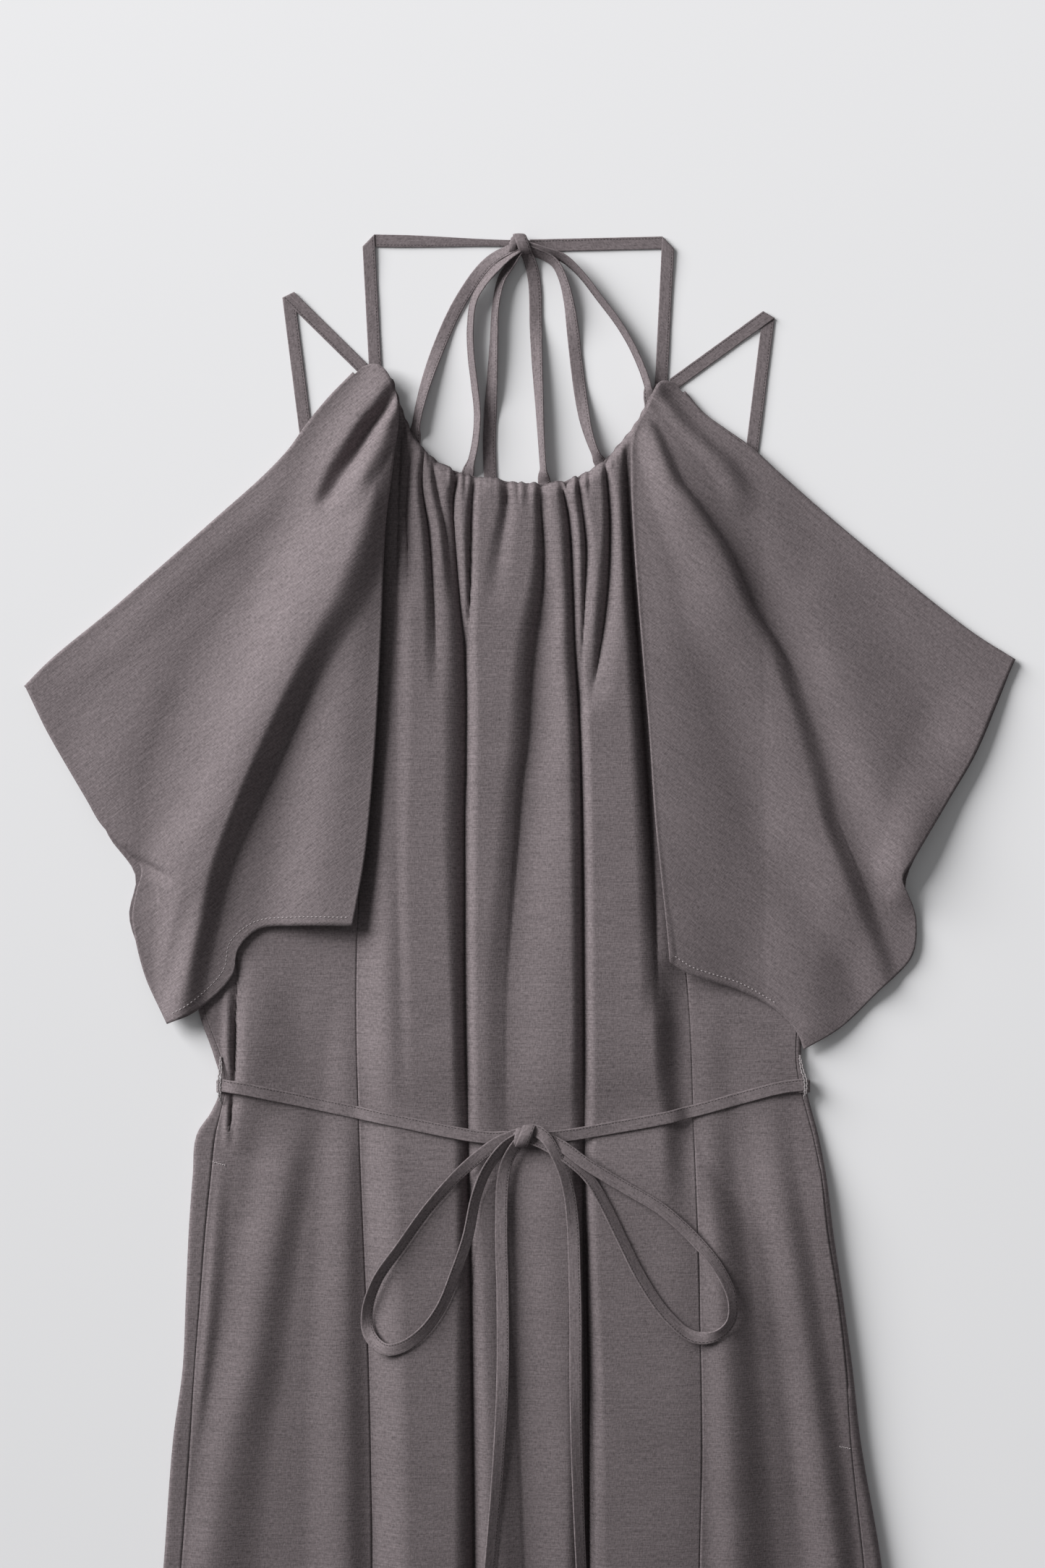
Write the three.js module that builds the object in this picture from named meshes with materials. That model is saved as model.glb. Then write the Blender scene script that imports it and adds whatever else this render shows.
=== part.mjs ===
// A halter dress laid flat, face up: gathered front, cape sleeves, tied neck straps and a tied belt.
// Units are millimetres: x to the right, y towards the neck, z up from the surface that the dress lies on.
// The origin is the middle of the dress on that surface.

import * as THREE from 'three';

// Driving dimensions
const clothThickness = 1.2;
const seamGap = 0.4;
const strapWidth = 8;
const strapThickness = 1.6;
const hemHeight = -641;
const hemRise = 12;
const hemHalfWidth = 262;
const backTop = 441;
const sideFoldRadius = 1.9;
const sleeveFoldRadius = 1.5;
const beltHeight = 98;

// Heights of the cloth's middle above the surface
const backLevel = clothThickness / 2;
const frontLevel = backLevel + 2 * sideFoldRadius;
const sleeveLevel = 2 * sleeveFoldRadius;
const sleeveOverBody = 2;
const casingLevel = frontLevel - 1.6;
const strapLevel = strapThickness / 2;

const cloth = { color: 0x787170, roughness: 0.9, metalness: 0 };
const strapCloth = { color: 0x787170, roughness: 0.88, metalness: 0 };
const thread = { color: 0x8a8382, roughness: 0.95, metalness: 0 };

const dress = new THREE.Group();

// Where the princess seams and the two deep creases between them run, and how high the cloth rises between
const frontSections = [
  { y: 548, leftSeam: -82, leftCrease: -40, rightCrease: 26, rightSeam: 88, rise: 3 },
  { y: 520, leftSeam: -83.5, leftCrease: -40, rightCrease: 26, rightSeam: 82, rise: 4 },
  { y: 487, leftSeam: -86, leftCrease: -39, rightCrease: 27, rightSeam: 80, rise: 6 },
  { y: 455, leftSeam: -88.5, leftCrease: -41.5, rightCrease: 31, rightSeam: 80.8, rise: 7 },
  { y: 430, leftSeam: -90.4, leftCrease: -40, rightCrease: 33, rightSeam: 82.3, rise: 8 },
  { y: 405, leftSeam: -92.3, leftCrease: -38, rightCrease: 34, rightSeam: 84.1, rise: 9 },
  { y: 375, leftSeam: -94.5, leftCrease: -35.5, rightCrease: 35, rightSeam: 86.3, rise: 10 },
  { y: 308, leftSeam: -98.6, leftCrease: -35.3, rightCrease: 38.5, rightSeam: 91, rise: 10.5 },
  { y: 238, leftSeam: -102, leftCrease: -35, rightCrease: 39.5, rightSeam: 97.9, rise: 11 },
  { y: 154, leftSeam: -104, leftCrease: -34.8, rightCrease: 40.7, rightSeam: 107.5, rise: 11 },
  { y: 66, leftSeam: -102, leftCrease: -33, rightCrease: 41, rightSeam: 111, rise: 11 },
  { y: -55, leftSeam: -97, leftCrease: -31, rightCrease: 42, rightSeam: 114.5, rise: 12 },
  { y: -124, leftSeam: -95, leftCrease: -30, rightCrease: 43, rightSeam: 115.5, rise: 13 },
  { y: -210, leftSeam: -94, leftCrease: -29, rightCrease: 43, rightSeam: 114, rise: 14 },
  { y: -425, leftSeam: -95, leftCrease: -29.5, rightCrease: 44, rightSeam: 114, rise: 15 },
  { y: -641, leftSeam: -97, leftCrease: -30, rightCrease: 45, rightSeam: 115, rise: 16 },
];

// The outer edges of the body, and the side seams a little inside them, where the back wraps to the front
const sideSections = [
  { y: 441, leftEdge: -136, leftSeam: -131.5, rightSeam: 144.5, rightEdge: 149 },
  { y: 360, leftEdge: -152, leftSeam: -147.5, rightSeam: 158.5, rightEdge: 163 },
  { y: 285, leftEdge: -184, leftSeam: -179.5, rightSeam: 179.5, rightEdge: 184 },
  { y: 240, leftEdge: -214, leftSeam: -209.5, rightSeam: 195.5, rightEdge: 200 },
  { y: 190, leftEdge: -211, leftSeam: -206, rightSeam: 187, rightEdge: 190.5 },
  { y: 145, leftEdge: -204.7, leftSeam: -200.5, rightSeam: 178, rightEdge: 181.5 },
  { y: 115, leftEdge: -194.5, leftSeam: -190, rightSeam: 176, rightEdge: 179.5 },
  { y: 98, leftEdge: -190.5, leftSeam: -187, rightSeam: 178.5, rightEdge: 182 },
  { y: 80, leftEdge: -197, leftSeam: -190.5, rightSeam: 183, rightEdge: 186.5 },
  { y: 67, leftEdge: -205.6, leftSeam: -193.5, rightSeam: 186.5, rightEdge: 190 },
  { y: 40, leftEdge: -208.5, leftSeam: -196.5, rightSeam: 191.7, rightEdge: 195.2 },
  { y: 5, leftEdge: -211, leftSeam: -200, rightSeam: 195.5, rightEdge: 199.5 },
  { y: -40, leftEdge: -213, leftSeam: -203.5, rightSeam: 202.5, rightEdge: 206 },
  { y: -85, leftEdge: -215, leftSeam: -207, rightSeam: 207.5, rightEdge: 212 },
  { y: -130, leftEdge: -221, leftSeam: -209.7, rightSeam: 210.5, rightEdge: 217 },
  { y: -210, leftEdge: -227, leftSeam: -215.3, rightSeam: 218.8, rightEdge: 230.3 },
  { y: -425, leftEdge: -245, leftSeam: -232, rightSeam: 238, rightEdge: 252 },
  { y: -641, leftEdge: -262, leftSeam: -248, rightSeam: 259, rightEdge: 274 },
];

// The neckline, from the left corner to the right
const neckline = [
  { x: -82, y: 548 },
  { x: -75, y: 526 },
  { x: -68, y: 511 },
  { x: -58, y: 499 },
  { x: -38, y: 487 },
  { x: -19, y: 484 },
  { x: 5, y: 480.5 },
  { x: 30, y: 482.5 },
  { x: 43, y: 488 },
  { x: 53, y: 494 },
  { x: 64, y: 506 },
  { x: 75, y: 520 },
  { x: 88, y: 545 },
];

// Further folds of the front: each follows its points from the neck down, with its own reach to each side.
// rise is its height at even steps along it, below zero for a trough, and crisp is 1 for a sharp foot.
const frontFolds = [
  { name: 'left gather', points: [[-63, 510], [-62, 440], [-56, 395], [-52, 350]],
    left: 7, right: 8, rise: [-3, -5, -3, 0], crisp: 0 },
  { name: 'middle shadow', points: [[12, 484], [13, 440], [11, 380], [12, 300], [18, 180]],
    left: 7, right: 9, rise: [-2, -5, -6, -4, 0], crisp: 0.3 },
  { name: 'right gather', points: [[56, 500], [57, 440], [54, 370], [47, 325]],
    left: 7, right: 8, rise: [-3, -5, -5, 0], crisp: 0 },
  { name: 'left side tube', points: [[-140, 160], [-150, 30], [-165, -60], [-180, -210], [-200, -660]],
    left: 26, right: 22, rise: [0, 6, 7, 9, 12], crisp: 0.2 },
  { name: 'left seam tube', points: [[-116, 170], [-116, 60], [-118, -60], [-122, -660]],
    left: 16, right: 18, rise: [0, 3, 5, 7], crisp: 0.2 },
  { name: 'right side tube', points: [[134, 170], [136, 60], [142, -60], [150, -660]],
    left: 20, right: 24, rise: [0, 5, 7, 11], crisp: 0.2 },
  { name: 'right hip tube', points: [[162, 140], [168, 0], [184, -130], [208, -660]],
    left: 22, right: 20, rise: [0, 4, 5, 9], crisp: 0.2 },
];
const foldFade = 12;

// Sleeve outlines: the upper fold from the neck corner to the tip, the edge hanging from the tip,
// the inner edge along the princess seam and the hem. The layer below has its own three edges.
const sleeves = {
  left: {
    fold: [[-106.5, 553], [-201.5, 468], [-294, 376], [-316, 353]],
    outer: [[-316, 353], [-299, 320], [-275.5, 283], [-266.5, 259], [-243, 237], [-247, 214], [-244, 190],
      [-236, 165], [-224, 138]],
    inner: [[-106.5, 553], [-99, 558], [-90, 557.5], [-82.5, 549], [-77, 530], [-80, 495], [-85, 454], [-88, 380],
      [-92, 308], [-98, 245], [-106, 200.5]],
    hem: [[-106, 200.5], [-141.5, 200.5], [-166, 198], [-179, 185], [-183, 168], [-206, 146], [-224, 138]],
    underOuter: [[-316, 353], [-296, 318], [-272, 281], [-262, 257], [-245, 232], [-249, 205], [-233, 166],
      [-219, 143]],
    underStart: [[-106.5, 553], [-122, 500]],
    underHem: [[-208, 150], [-214, 146], [-219, 143]],
    side: 'leftEdge',
    folds: [
      { name: 'long ridge', points: [[-109, 520], [-128, 430], [-158, 350], [-196, 250], [-214, 160], [-220, 120]],
        left: 34, right: 44, rise: [3, 7, 13, 17, 15, 13], crisp: 0.1 },
      { name: 'inner swell', points: [[-92, 500], [-112, 400], [-128, 300], [-140, 190]],
        left: 34, right: 30, rise: [2, 6, 9, 8], crisp: 0.1 },
      { name: 'outer swell', points: [[-170, 470], [-230, 370], [-262, 300]],
        left: 34, right: 34, rise: [3, 7, 4], crisp: 0 },
      { name: 'corner pleat', points: [[-92, 545], [-112, 505], [-140, 455]],
        left: 10, right: 7, rise: [3, 5, 0], crisp: 0.3 },
    ],
    strapBridge: [[-147, 600], [-137, 517], [-126, 430]],
  },
  right: {
    fold: [[105.5, 541], [149, 504], [249, 433], [316, 370]],
    outer: [[316, 370], [308, 345], [293, 310], [268, 268], [242.5, 228.5], [252, 212], [252.5, 203], [250, 181],
      [228.5, 158.5], [205, 136], [180.5, 121.5]],
    inner: [[105.5, 541], [99, 547], [90, 547], [81, 531], [72, 514], [70.5, 490], [72.5, 442], [78, 371],
      [82, 324], [86, 266], [93, 200], [95, 177.5]],
    hem: [[95, 177.5], [107, 170], [140, 159], [165, 145], [177, 131], [180.5, 121.5]],
    underOuter: [[316, 370], [305, 343], [290, 308], [265, 266], [246, 228], [248, 205], [245, 182], [225, 160],
      [202, 139]],
    underStart: [[105.5, 541], [132, 496]],
    underHem: [[184.6, 150], [193, 144], [202, 139]],
    side: 'rightEdge',
    folds: [
      { name: 'overlap ridge', points: [[82, 530], [104, 478], [130, 428], [152, 380], [184, 300], [215, 240]],
        left: 16, right: 42, rise: [3, 6, 8, 9, 9, 4], crisp: 0.2 },
      { name: 'lower swell', points: [[130, 330], [168, 240], [196, 150]],
        left: 40, right: 34, rise: [3, 6, 8], crisp: 0 },
      { name: 'outer ridge', points: [[140, 480], [180, 380], [218, 290], [238, 240]],
        left: 20, right: 40, rise: [3, 7, 10, 9], crisp: 0.1 },
      { name: 'corner pleat', points: [[92, 538], [113, 512], [133, 478]],
        left: 8, right: 4, rise: [3, 4, 0], crisp: 0.3 },
    ],
    strapBridge: [[159, 590], [148, 504], [139, 430]],
  },
};

// Straps that fold flat at a corner: start, corner and end of the middle line
const foldedStraps = [
  { name: 'neck_strap_left', start: [-9.4, 636.4], corner: [-96.4, 636.9], end: [-91.4, 541] },
  { name: 'neck_strap_right', start: [9.8, 633.9], corner: [94.6, 635.6], end: [89.6, 533] },
  { name: 'shoulder_strap_left', start: [-99.8, 555.2], corner: [-147.6, 602.2], end: [-127.4, 442.4] },
  { name: 'shoulder_strap_right', start: [97.6, 545.2], corner: [158.8, 589.6], end: [140.6, 442.4] },
];

// Ties that lie free: the route of the middle line from the knot, the width that shows as they turn
// on edge, and level, which counts the layers of tie below.
const neckTies = [
  { name: 'neck_bow_loop_left', route: [
    { x: -7.8, y: 630, width: 4, level: 1.2 }, { x: -17, y: 625, width: 7, level: 0 },
    { x: -26, y: 616, width: 8, level: 0 }, { x: -40, y: 594.5, width: 8, level: 0 },
    { x: -50.5, y: 571.5, width: 8, level: 0 }, { x: -59, y: 548, width: 7, level: 0 },
    { x: -65, y: 525, width: 5, level: 0 }, { x: -67.5, y: 506, width: 5, level: 0 },
    { x: -67, y: 488, width: 6, level: 0 }, { x: -61, y: 472, width: 7, level: 0 },
    { x: -51, y: 464, width: 7, level: 0 }, { x: -41, y: 469, width: 6, level: 0 },
    { x: -34, y: 486, width: 5, level: 0 }, { x: -29, y: 504, width: 4, level: 0 },
    { x: -27, y: 525, width: 4, level: 0 }, { x: -29, y: 546, width: 4, level: 0 },
    { x: -31, y: 563, width: 4, level: 0 }, { x: -31.5, y: 582, width: 4, level: 0 },
    { x: -29, y: 599, width: 4, level: 0.3 }, { x: -22, y: 610.5, width: 5, level: 1.2 },
    { x: -14, y: 619.5, width: 5, level: 1.6 }, { x: -6.2, y: 626.8, width: 4, level: 2.6 }] },
  { name: 'neck_bow_tail_left', route: [
    { x: -1.7, y: 627.7, width: 4, level: 1.4 }, { x: -6, y: 621, width: 6, level: 0 },
    { x: -11.5, y: 612, width: 7, level: 0 }, { x: -15.3, y: 595, width: 8, level: 0 },
    { x: -16.5, y: 571.5, width: 8, level: 0 }, { x: -17.5, y: 550, width: 8, level: 0 },
    { x: -18.6, y: 529, width: 8, level: 0 }, { x: -19.4, y: 508, width: 8, level: 0 },
    { x: -18.8, y: 485, width: 8, level: 0 }, { x: -18, y: 462, width: 8, level: 0 },
    { x: -18, y: 448, width: 8, level: 1 }, { x: -18.5, y: 430, width: 8, level: 1 },
    { x: -20, y: 402, width: 8, level: 1 }] },
  { name: 'neck_bow_tail_right', route: [
    { x: 3.4, y: 628.2, width: 5, level: 1.5 }, { x: 7, y: 620, width: 7, level: 0 },
    { x: 9.6, y: 608, width: 8, level: 0 }, { x: 10.3, y: 582, width: 8, level: 0 },
    { x: 11, y: 561, width: 8, level: 0 }, { x: 12.5, y: 533, width: 6, level: 0 },
    { x: 13.8, y: 508, width: 5, level: 0 }, { x: 15.6, y: 482, width: 5, level: 0 },
    { x: 17, y: 462, width: 6, level: 0 }, { x: 18, y: 448, width: 7, level: 1 },
    { x: 19, y: 430, width: 8, level: 1 }, { x: 20, y: 402, width: 8, level: 1 }] },
  { name: 'neck_bow_loop_right', route: [
    { x: 8.2, y: 628.9, width: 3, level: 1.2 }, { x: 16, y: 626.6, width: 4, level: 0 },
    { x: 22.6, y: 622, width: 5, level: 0 }, { x: 27.6, y: 612, width: 6, level: 0 },
    { x: 31.4, y: 597, width: 7, level: 0 }, { x: 34, y: 578, width: 8, level: 0 },
    { x: 36.5, y: 556, width: 8, level: 0 }, { x: 39.5, y: 534, width: 8, level: 0 },
    { x: 42.5, y: 518, width: 6, level: 0 }, { x: 47, y: 504, width: 5, level: 0 },
    { x: 52.5, y: 493, width: 5, level: 0 }, { x: 60, y: 482, width: 6, level: 0 },
    { x: 70, y: 479, width: 7, level: 0 }, { x: 79, y: 486, width: 7, level: 0 },
    { x: 83.5, y: 500, width: 6, level: 0 }, { x: 84.2, y: 518, width: 4, level: 0 },
    { x: 82, y: 542, width: 4, level: 0 }, { x: 74, y: 564, width: 4, level: 0 },
    { x: 64, y: 582, width: 4, level: 0 }, { x: 51, y: 599.5, width: 4, level: 0 },
    { x: 38, y: 616, width: 4, level: 0.4 }, { x: 27, y: 625.4, width: 4, level: 1.2 },
    { x: 17, y: 628.6, width: 3, level: 1.8 }, { x: 9.4, y: 630.6, width: 3, level: 2.6 }] },
];

const beltTies = [
  { name: 'belt_bow_tail_left', route: [
    { x: -2.8, y: 61, width: 5, level: 1.4 }, { x: -8.2, y: 51, width: 7, level: 0 },
    { x: -10.8, y: 38, width: 8, level: 0 }, { x: -11.6, y: 4, width: 8, level: 0 },
    { x: -10.8, y: -31, width: 8, level: 0 }, { x: -10.8, y: -85, width: 8, level: 0 },
    { x: -13, y: -130, width: 7, level: 0 }, { x: -16.5, y: -175, width: 6, level: 0 },
    { x: -19.5, y: -210, width: 6, level: 0 }, { x: -22, y: -245, width: 7, level: 0 },
    { x: -23, y: -282, width: 8, level: 0 }] },
  { name: 'belt_bow_tail_right', route: [
    { x: 7.3, y: 60.5, width: 4, level: 1 }, { x: 19, y: 54, width: 6, level: 0 },
    { x: 29, y: 46, width: 8, level: 0 }, { x: 33, y: 22, width: 8, level: 0 },
    { x: 34.6, y: -13, width: 8, level: 0 }, { x: 35.4, y: -48, width: 8, level: 0 },
    { x: 35.4, y: -85, width: 8, level: 0 }, { x: 36, y: -130, width: 7, level: 0 },
    { x: 37.5, y: -175, width: 6, level: 0 }, { x: 39, y: -210, width: 5, level: 0 },
    { x: 41, y: -250, width: 7, level: 0 }, { x: 42, y: -300, width: 8, level: 0 }] },
  { name: 'belt_bow_loop_left', route: [
    { x: -9, y: 70, width: 6, level: 1.4 }, { x: -22, y: 57.5, width: 8, level: 1.2 },
    { x: -38.5, y: 43.5, width: 7, level: 0 }, { x: -57.4, y: 22.7, width: 5, level: 0 },
    { x: -75, y: -1.6, width: 5, level: 0 }, { x: -90.4, y: -24, width: 5, level: 0 },
    { x: -97, y: -45, width: 6, level: 0 }, { x: -95.5, y: -59, width: 8, level: 0 },
    { x: -86, y: -67.5, width: 8, level: 0 }, { x: -75, y: -66, width: 7, level: 0 },
    { x: -62, y: -57, width: 6, level: 0 }, { x: -50, y: -41, width: 5, level: 0 },
    { x: -40, y: -17, width: 6, level: 0 }, { x: -33, y: 3.6, width: 6, level: 0 },
    { x: -27.5, y: 29.7, width: 5, level: 0 }, { x: -20.5, y: 47, width: 6, level: 1.2 },
    { x: -9.5, y: 62.5, width: 6, level: 2.4 }] },
  { name: 'belt_bow_loop_right', route: [
    { x: 11.7, y: 67, width: 6, level: 1.8 }, { x: 26, y: 61.5, width: 7, level: 2.4 },
    { x: 42, y: 50, width: 7, level: 1.2 }, { x: 64, y: 36.6, width: 7, level: 0 },
    { x: 90, y: 21, width: 7, level: 0 }, { x: 111, y: 2, width: 7, level: 0 },
    { x: 126.5, y: -17, width: 6, level: 0 }, { x: 134.5, y: -36, width: 5, level: 0 },
    { x: 133, y: -50, width: 4, level: 0 }, { x: 123, y: -58.8, width: 4, level: 0 },
    { x: 110, y: -59.5, width: 5, level: 0 }, { x: 94, y: -46.7, width: 6, level: 0 },
    { x: 78, y: -24, width: 6, level: 0 }, { x: 64, y: 3.6, width: 6, level: 0 },
    { x: 52.5, y: 27, width: 6, level: 0 }, { x: 43, y: 42, width: 5, level: 0 },
    { x: 30, y: 53.5, width: 5, level: 1.2 }, { x: 13, y: 61.5, width: 4, level: 2.4 }] },
];

const beltFronts = [
  { name: 'belt_front_left', route: [
    { x: -177.2, y: 98, width: 8, level: 0 }, { x: -150, y: 91.5, width: 8, level: 0 },
    { x: -110, y: 83, width: 8, level: 0 }, { x: -70, y: 75, width: 8, level: 0 },
    { x: -40, y: 69, width: 7, level: 0 }, { x: -20, y: 66, width: 6, level: 0 },
    { x: -6.6, y: 66.4, width: 5, level: 0.3 }] },
  { name: 'belt_front_right', route: [
    { x: 11.1, y: 65.9, width: 5, level: 0.2 }, { x: 26, y: 67, width: 7, level: 0 },
    { x: 60, y: 72.5, width: 8, level: 0 }, { x: 100, y: 80, width: 8, level: 0 },
    { x: 140, y: 90.5, width: 8, level: 0 }, { x: 168.8, y: 98, width: 8, level: 0 }] },
];

const beltBackEnds = { left: -178.4, right: 170.4 };

const knots = [
  { name: 'neck_knot', x: 0.2, y: 634.2, halfLength: 8.8, halfWidth: 5.8, halfHeight: 3.6 },
  { name: 'belt_knot', x: 2.2, y: 67.4, halfLength: 8.4, halfWidth: 6.6, halfHeight: 4 },
];

const threadLoops = [
  { name: 'thread_loop_left', x: -186.5, top: 116, bottom: 87 },
  { name: 'thread_loop_right', x: 177.5, top: 118, bottom: 92 },
];
const threadLoopThickness = 1.5;

const pocketBags = [
  { name: 'pocket_bag_left', side: -1, mouthX: -199, top: 48, bottom: -133 },
  { name: 'pocket_bag_right', side: 1, mouthX: 192, top: 48, bottom: -133 },
];
const pocketBag = { width: 140, depth: 90, thickness: 1.9, lift: 0.3 };

// Smooth interpolation of one column of a table sorted by falling y
function sectionValue(table, y, column) {
  const last = table.length - 1;
  let i = 0;
  while (i < last - 1 && y < table[i + 1].y) i += 1;
  const [a, b] = [table[i], table[i + 1]];
  const before = table[Math.max(i - 1, 0)];
  const after = table[Math.min(i + 2, last)];
  const slope = (p, q) => (p === q ? 0 : (q[column] - p[column]) / (q.y - p.y));
  const span = b.y - a.y;
  const startSlope = i === 0 ? slope(a, b) : (slope(before, a) + slope(a, b)) / 2;
  const endSlope = i + 1 === last ? slope(a, b) : (slope(a, b) + slope(b, after)) / 2;
  const t = THREE.MathUtils.clamp((y - a.y) / span, 0, 1);
  const h = { start: 2 * t ** 3 - 3 * t ** 2 + 1, rise: t ** 3 - 2 * t ** 2 + t };
  const e = { end: 3 * t ** 2 - 2 * t ** 3, rise: t ** 3 - t ** 2 };
  return h.start * a[column] + h.rise * span * startSlope + e.end * b[column] + e.rise * span * endSlope;
}

// A smooth line through points, asked by the share of the way along its rows
function lineThrough(points) {
  const curve = new THREE.CatmullRomCurve3(points.map(([x, y]) => new THREE.Vector3(x, y, 0)), false, 'centripetal');
  return (share) => curve.getPointAt(THREE.MathUtils.clamp(share, 0, 1));
}

function necklineHeight(x) {
  const table = neckline;
  const last = table.length - 1;
  let i = 0;
  while (i < last - 1 && x > table[i + 1].x) i += 1;
  const share = THREE.MathUtils.clamp((x - table[i].x) / (table[i + 1].x - table[i].x), 0, 1);
  return THREE.MathUtils.lerp(table[i].y, table[i + 1].y, share);
}

function hemAt(x) {
  return hemHeight + hemRise * (x / hemHalfWidth) ** 2;
}

// The part of a polyline nearest to a point: how far off, on which side and how far along
function nearest(points, x, y) {
  let best = { distance: Infinity, side: 1, along: 0 };
  const steps = points.length - 1;
  for (let i = 0; i < steps; i += 1) {
    const [ax, ay] = points[i];
    const [bx, by] = points[i + 1];
    const [dx, dy] = [bx - ax, by - ay];
    const share = THREE.MathUtils.clamp(((x - ax) * dx + (y - ay) * dy) / (dx * dx + dy * dy), 0, 1);
    const [ox, oy] = [x - ax - share * dx, y - ay - share * dy];
    const distance = Math.hypot(ox, oy);
    if (distance < best.distance) {
      const turn = dx * (y - ay) - dy * (x - ax);
      best = { distance, side: Math.sign(turn) || 1, along: (i + share) / steps };
    }
  }
  return best;
}

function alongTable(values, along) {
  const place = along * (values.length - 1);
  const i = Math.min(Math.floor(place), values.length - 2);
  return THREE.MathUtils.lerp(values[i], values[i + 1], place - i);
}

function foldHeight(fold, x, y) {
  const near = nearest(fold.points, x, y);
  const reach = near.side > 0 ? fold.right : fold.left;
  const s = near.distance / reach;
  if (s >= 1) return 0;
  const round = Math.cos(s * Math.PI / 2);
  const shape = THREE.MathUtils.lerp(round * round, round, fold.crisp);
  return alongTable(fold.rise, near.along) * shape;
}

function foldsHeight(folds, x, y) {
  return folds.reduce((sum, fold) => sum + foldHeight(fold, x, y), 0);
}

// The three tubes of the centre panel: crisp where they meet in the creases, soft at the seams
function tubesHeight(x, y) {
  const value = (column) => sectionValue(frontSections, y, column);
  const [leftSeam, leftCrease, rightCrease, rightSeam] = ['leftSeam', 'leftCrease', 'rightCrease', 'rightSeam']
    .map(value);
  if (x <= leftSeam || x >= rightSeam) return 0;
  const crisp = (share) => Math.sin(Math.PI * THREE.MathUtils.clamp(share, 0, 1)) ** 0.8;
  const soft = (share) => Math.sin(Math.PI * THREE.MathUtils.clamp(share, 0, 1)) ** 2;
  if (x < leftCrease) {
    const share = (x - leftSeam) / (leftCrease - leftSeam);
    return value('rise') * THREE.MathUtils.lerp(soft(share), crisp(share), THREE.MathUtils.smoothstep(share, 0.2, 0.8));
  }
  if (x > rightCrease) {
    const share = (rightSeam - x) / (rightSeam - rightCrease);
    return value('rise') * THREE.MathUtils.lerp(soft(share), crisp(share), THREE.MathUtils.smoothstep(share, 0.2, 0.8));
  }
  return value('rise') * crisp((x - leftCrease) / (rightCrease - leftCrease));
}

// The belt line falls from the sides to the knot, and draws the folds in where it passes
function beltLineAt(x) {
  return beltHeight - 32 * (1 - Math.min(Math.abs(x) / 190, 1));
}

// The folds of the front die away at the side seams
function frontHeight(x, y) {
  const drawnIn = 1 - 0.45 * Math.exp(-(((y - beltLineAt(x)) / 26) ** 2));
  const row = THREE.MathUtils.clamp(y, hemHeight, backTop);
  const fromLeft = x - sectionValue(sideSections, row, 'leftSeam');
  const fromRight = sectionValue(sideSections, row, 'rightSeam') - x;
  const fade = THREE.MathUtils.smoothstep(Math.min(fromLeft, fromRight), 0, foldFade);
  const folds = Math.max(tubesHeight(x, y) + foldsHeight(frontFolds, x, y), 0);
  return frontLevel + folds * drawnIn * fade;
}

// The highest cloth of the front within a reach of a point
function frontEnvelope(x, y, reach) {
  let highest = frontHeight(x, y);
  for (let turn = 0; turn < 8; turn += 1) {
    const angle = turn * Math.PI / 4;
    for (const part of [0.5, 1]) {
      const [dx, dy] = [Math.cos(angle) * reach * part, Math.sin(angle) * reach * part];
      highest = Math.max(highest, frontHeight(x + dx, y + dy));
    }
  }
  return highest;
}

// Closed wall of even thickness about a grid of points on the middle of the cloth.
// Its side edges stand upright, so that two panels never lean over the seam between them.
function clothSolid(grid, thickness = clothThickness) {
  const rows = grid.length;
  const columns = grid[0].length;
  const normals = grid.map((row, i) => row.map((point, j) => gridNormal(grid, i, j)));
  const positions = [];
  for (const side of [0.5, -0.5]) {
    for (let i = 0; i < rows; i += 1) {
      for (let j = 0; j < columns; j += 1) {
        const p = grid[i][j].clone().addScaledVector(normals[i][j], side * thickness);
        positions.push(p.x, p.y, p.z);
      }
    }
  }
  const at = (i, j, under) => i * columns + j + (under ? rows * columns : 0);
  const faces = [];
  const quad = (a, b, c, d) => faces.push(a, b, c, a, c, d);
  for (let i = 0; i < rows - 1; i += 1) {
    for (let j = 0; j < columns - 1; j += 1) {
      quad(at(i, j), at(i + 1, j), at(i + 1, j + 1), at(i, j + 1));
      quad(at(i, j, 1), at(i, j + 1, 1), at(i + 1, j + 1, 1), at(i + 1, j, 1));
    }
  }
  for (let i = 0; i < rows - 1; i += 1) {
    quad(at(i, 0), at(i, 0, 1), at(i + 1, 0, 1), at(i + 1, 0));
    quad(at(i, columns - 1), at(i + 1, columns - 1), at(i + 1, columns - 1, 1), at(i, columns - 1, 1));
  }
  for (let j = 0; j < columns - 1; j += 1) {
    quad(at(0, j), at(0, j + 1), at(0, j + 1, 1), at(0, j, 1));
    quad(at(rows - 1, j), at(rows - 1, j, 1), at(rows - 1, j + 1, 1), at(rows - 1, j + 1));
  }
  return solidGeometry(positions, faces);
}

function gridNormal(grid, i, j) {
  const step = (a, b) => (a && b ? b.clone().sub(a).normalize() : new THREE.Vector3());
  const row = grid[i];
  const across = step(row[j - 1], row[j]).add(step(row[j], row[j + 1]));
  const up = grid[i - 1] && grid[i - 1][j];
  const down = grid[i + 1] && grid[i + 1][j];
  const along = step(up, row[j]).add(step(row[j], down));
  const normal = along.cross(across);
  if (j === 0 || j === row.length - 1) normal.x = 0;
  return normal.normalize();
}

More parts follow.
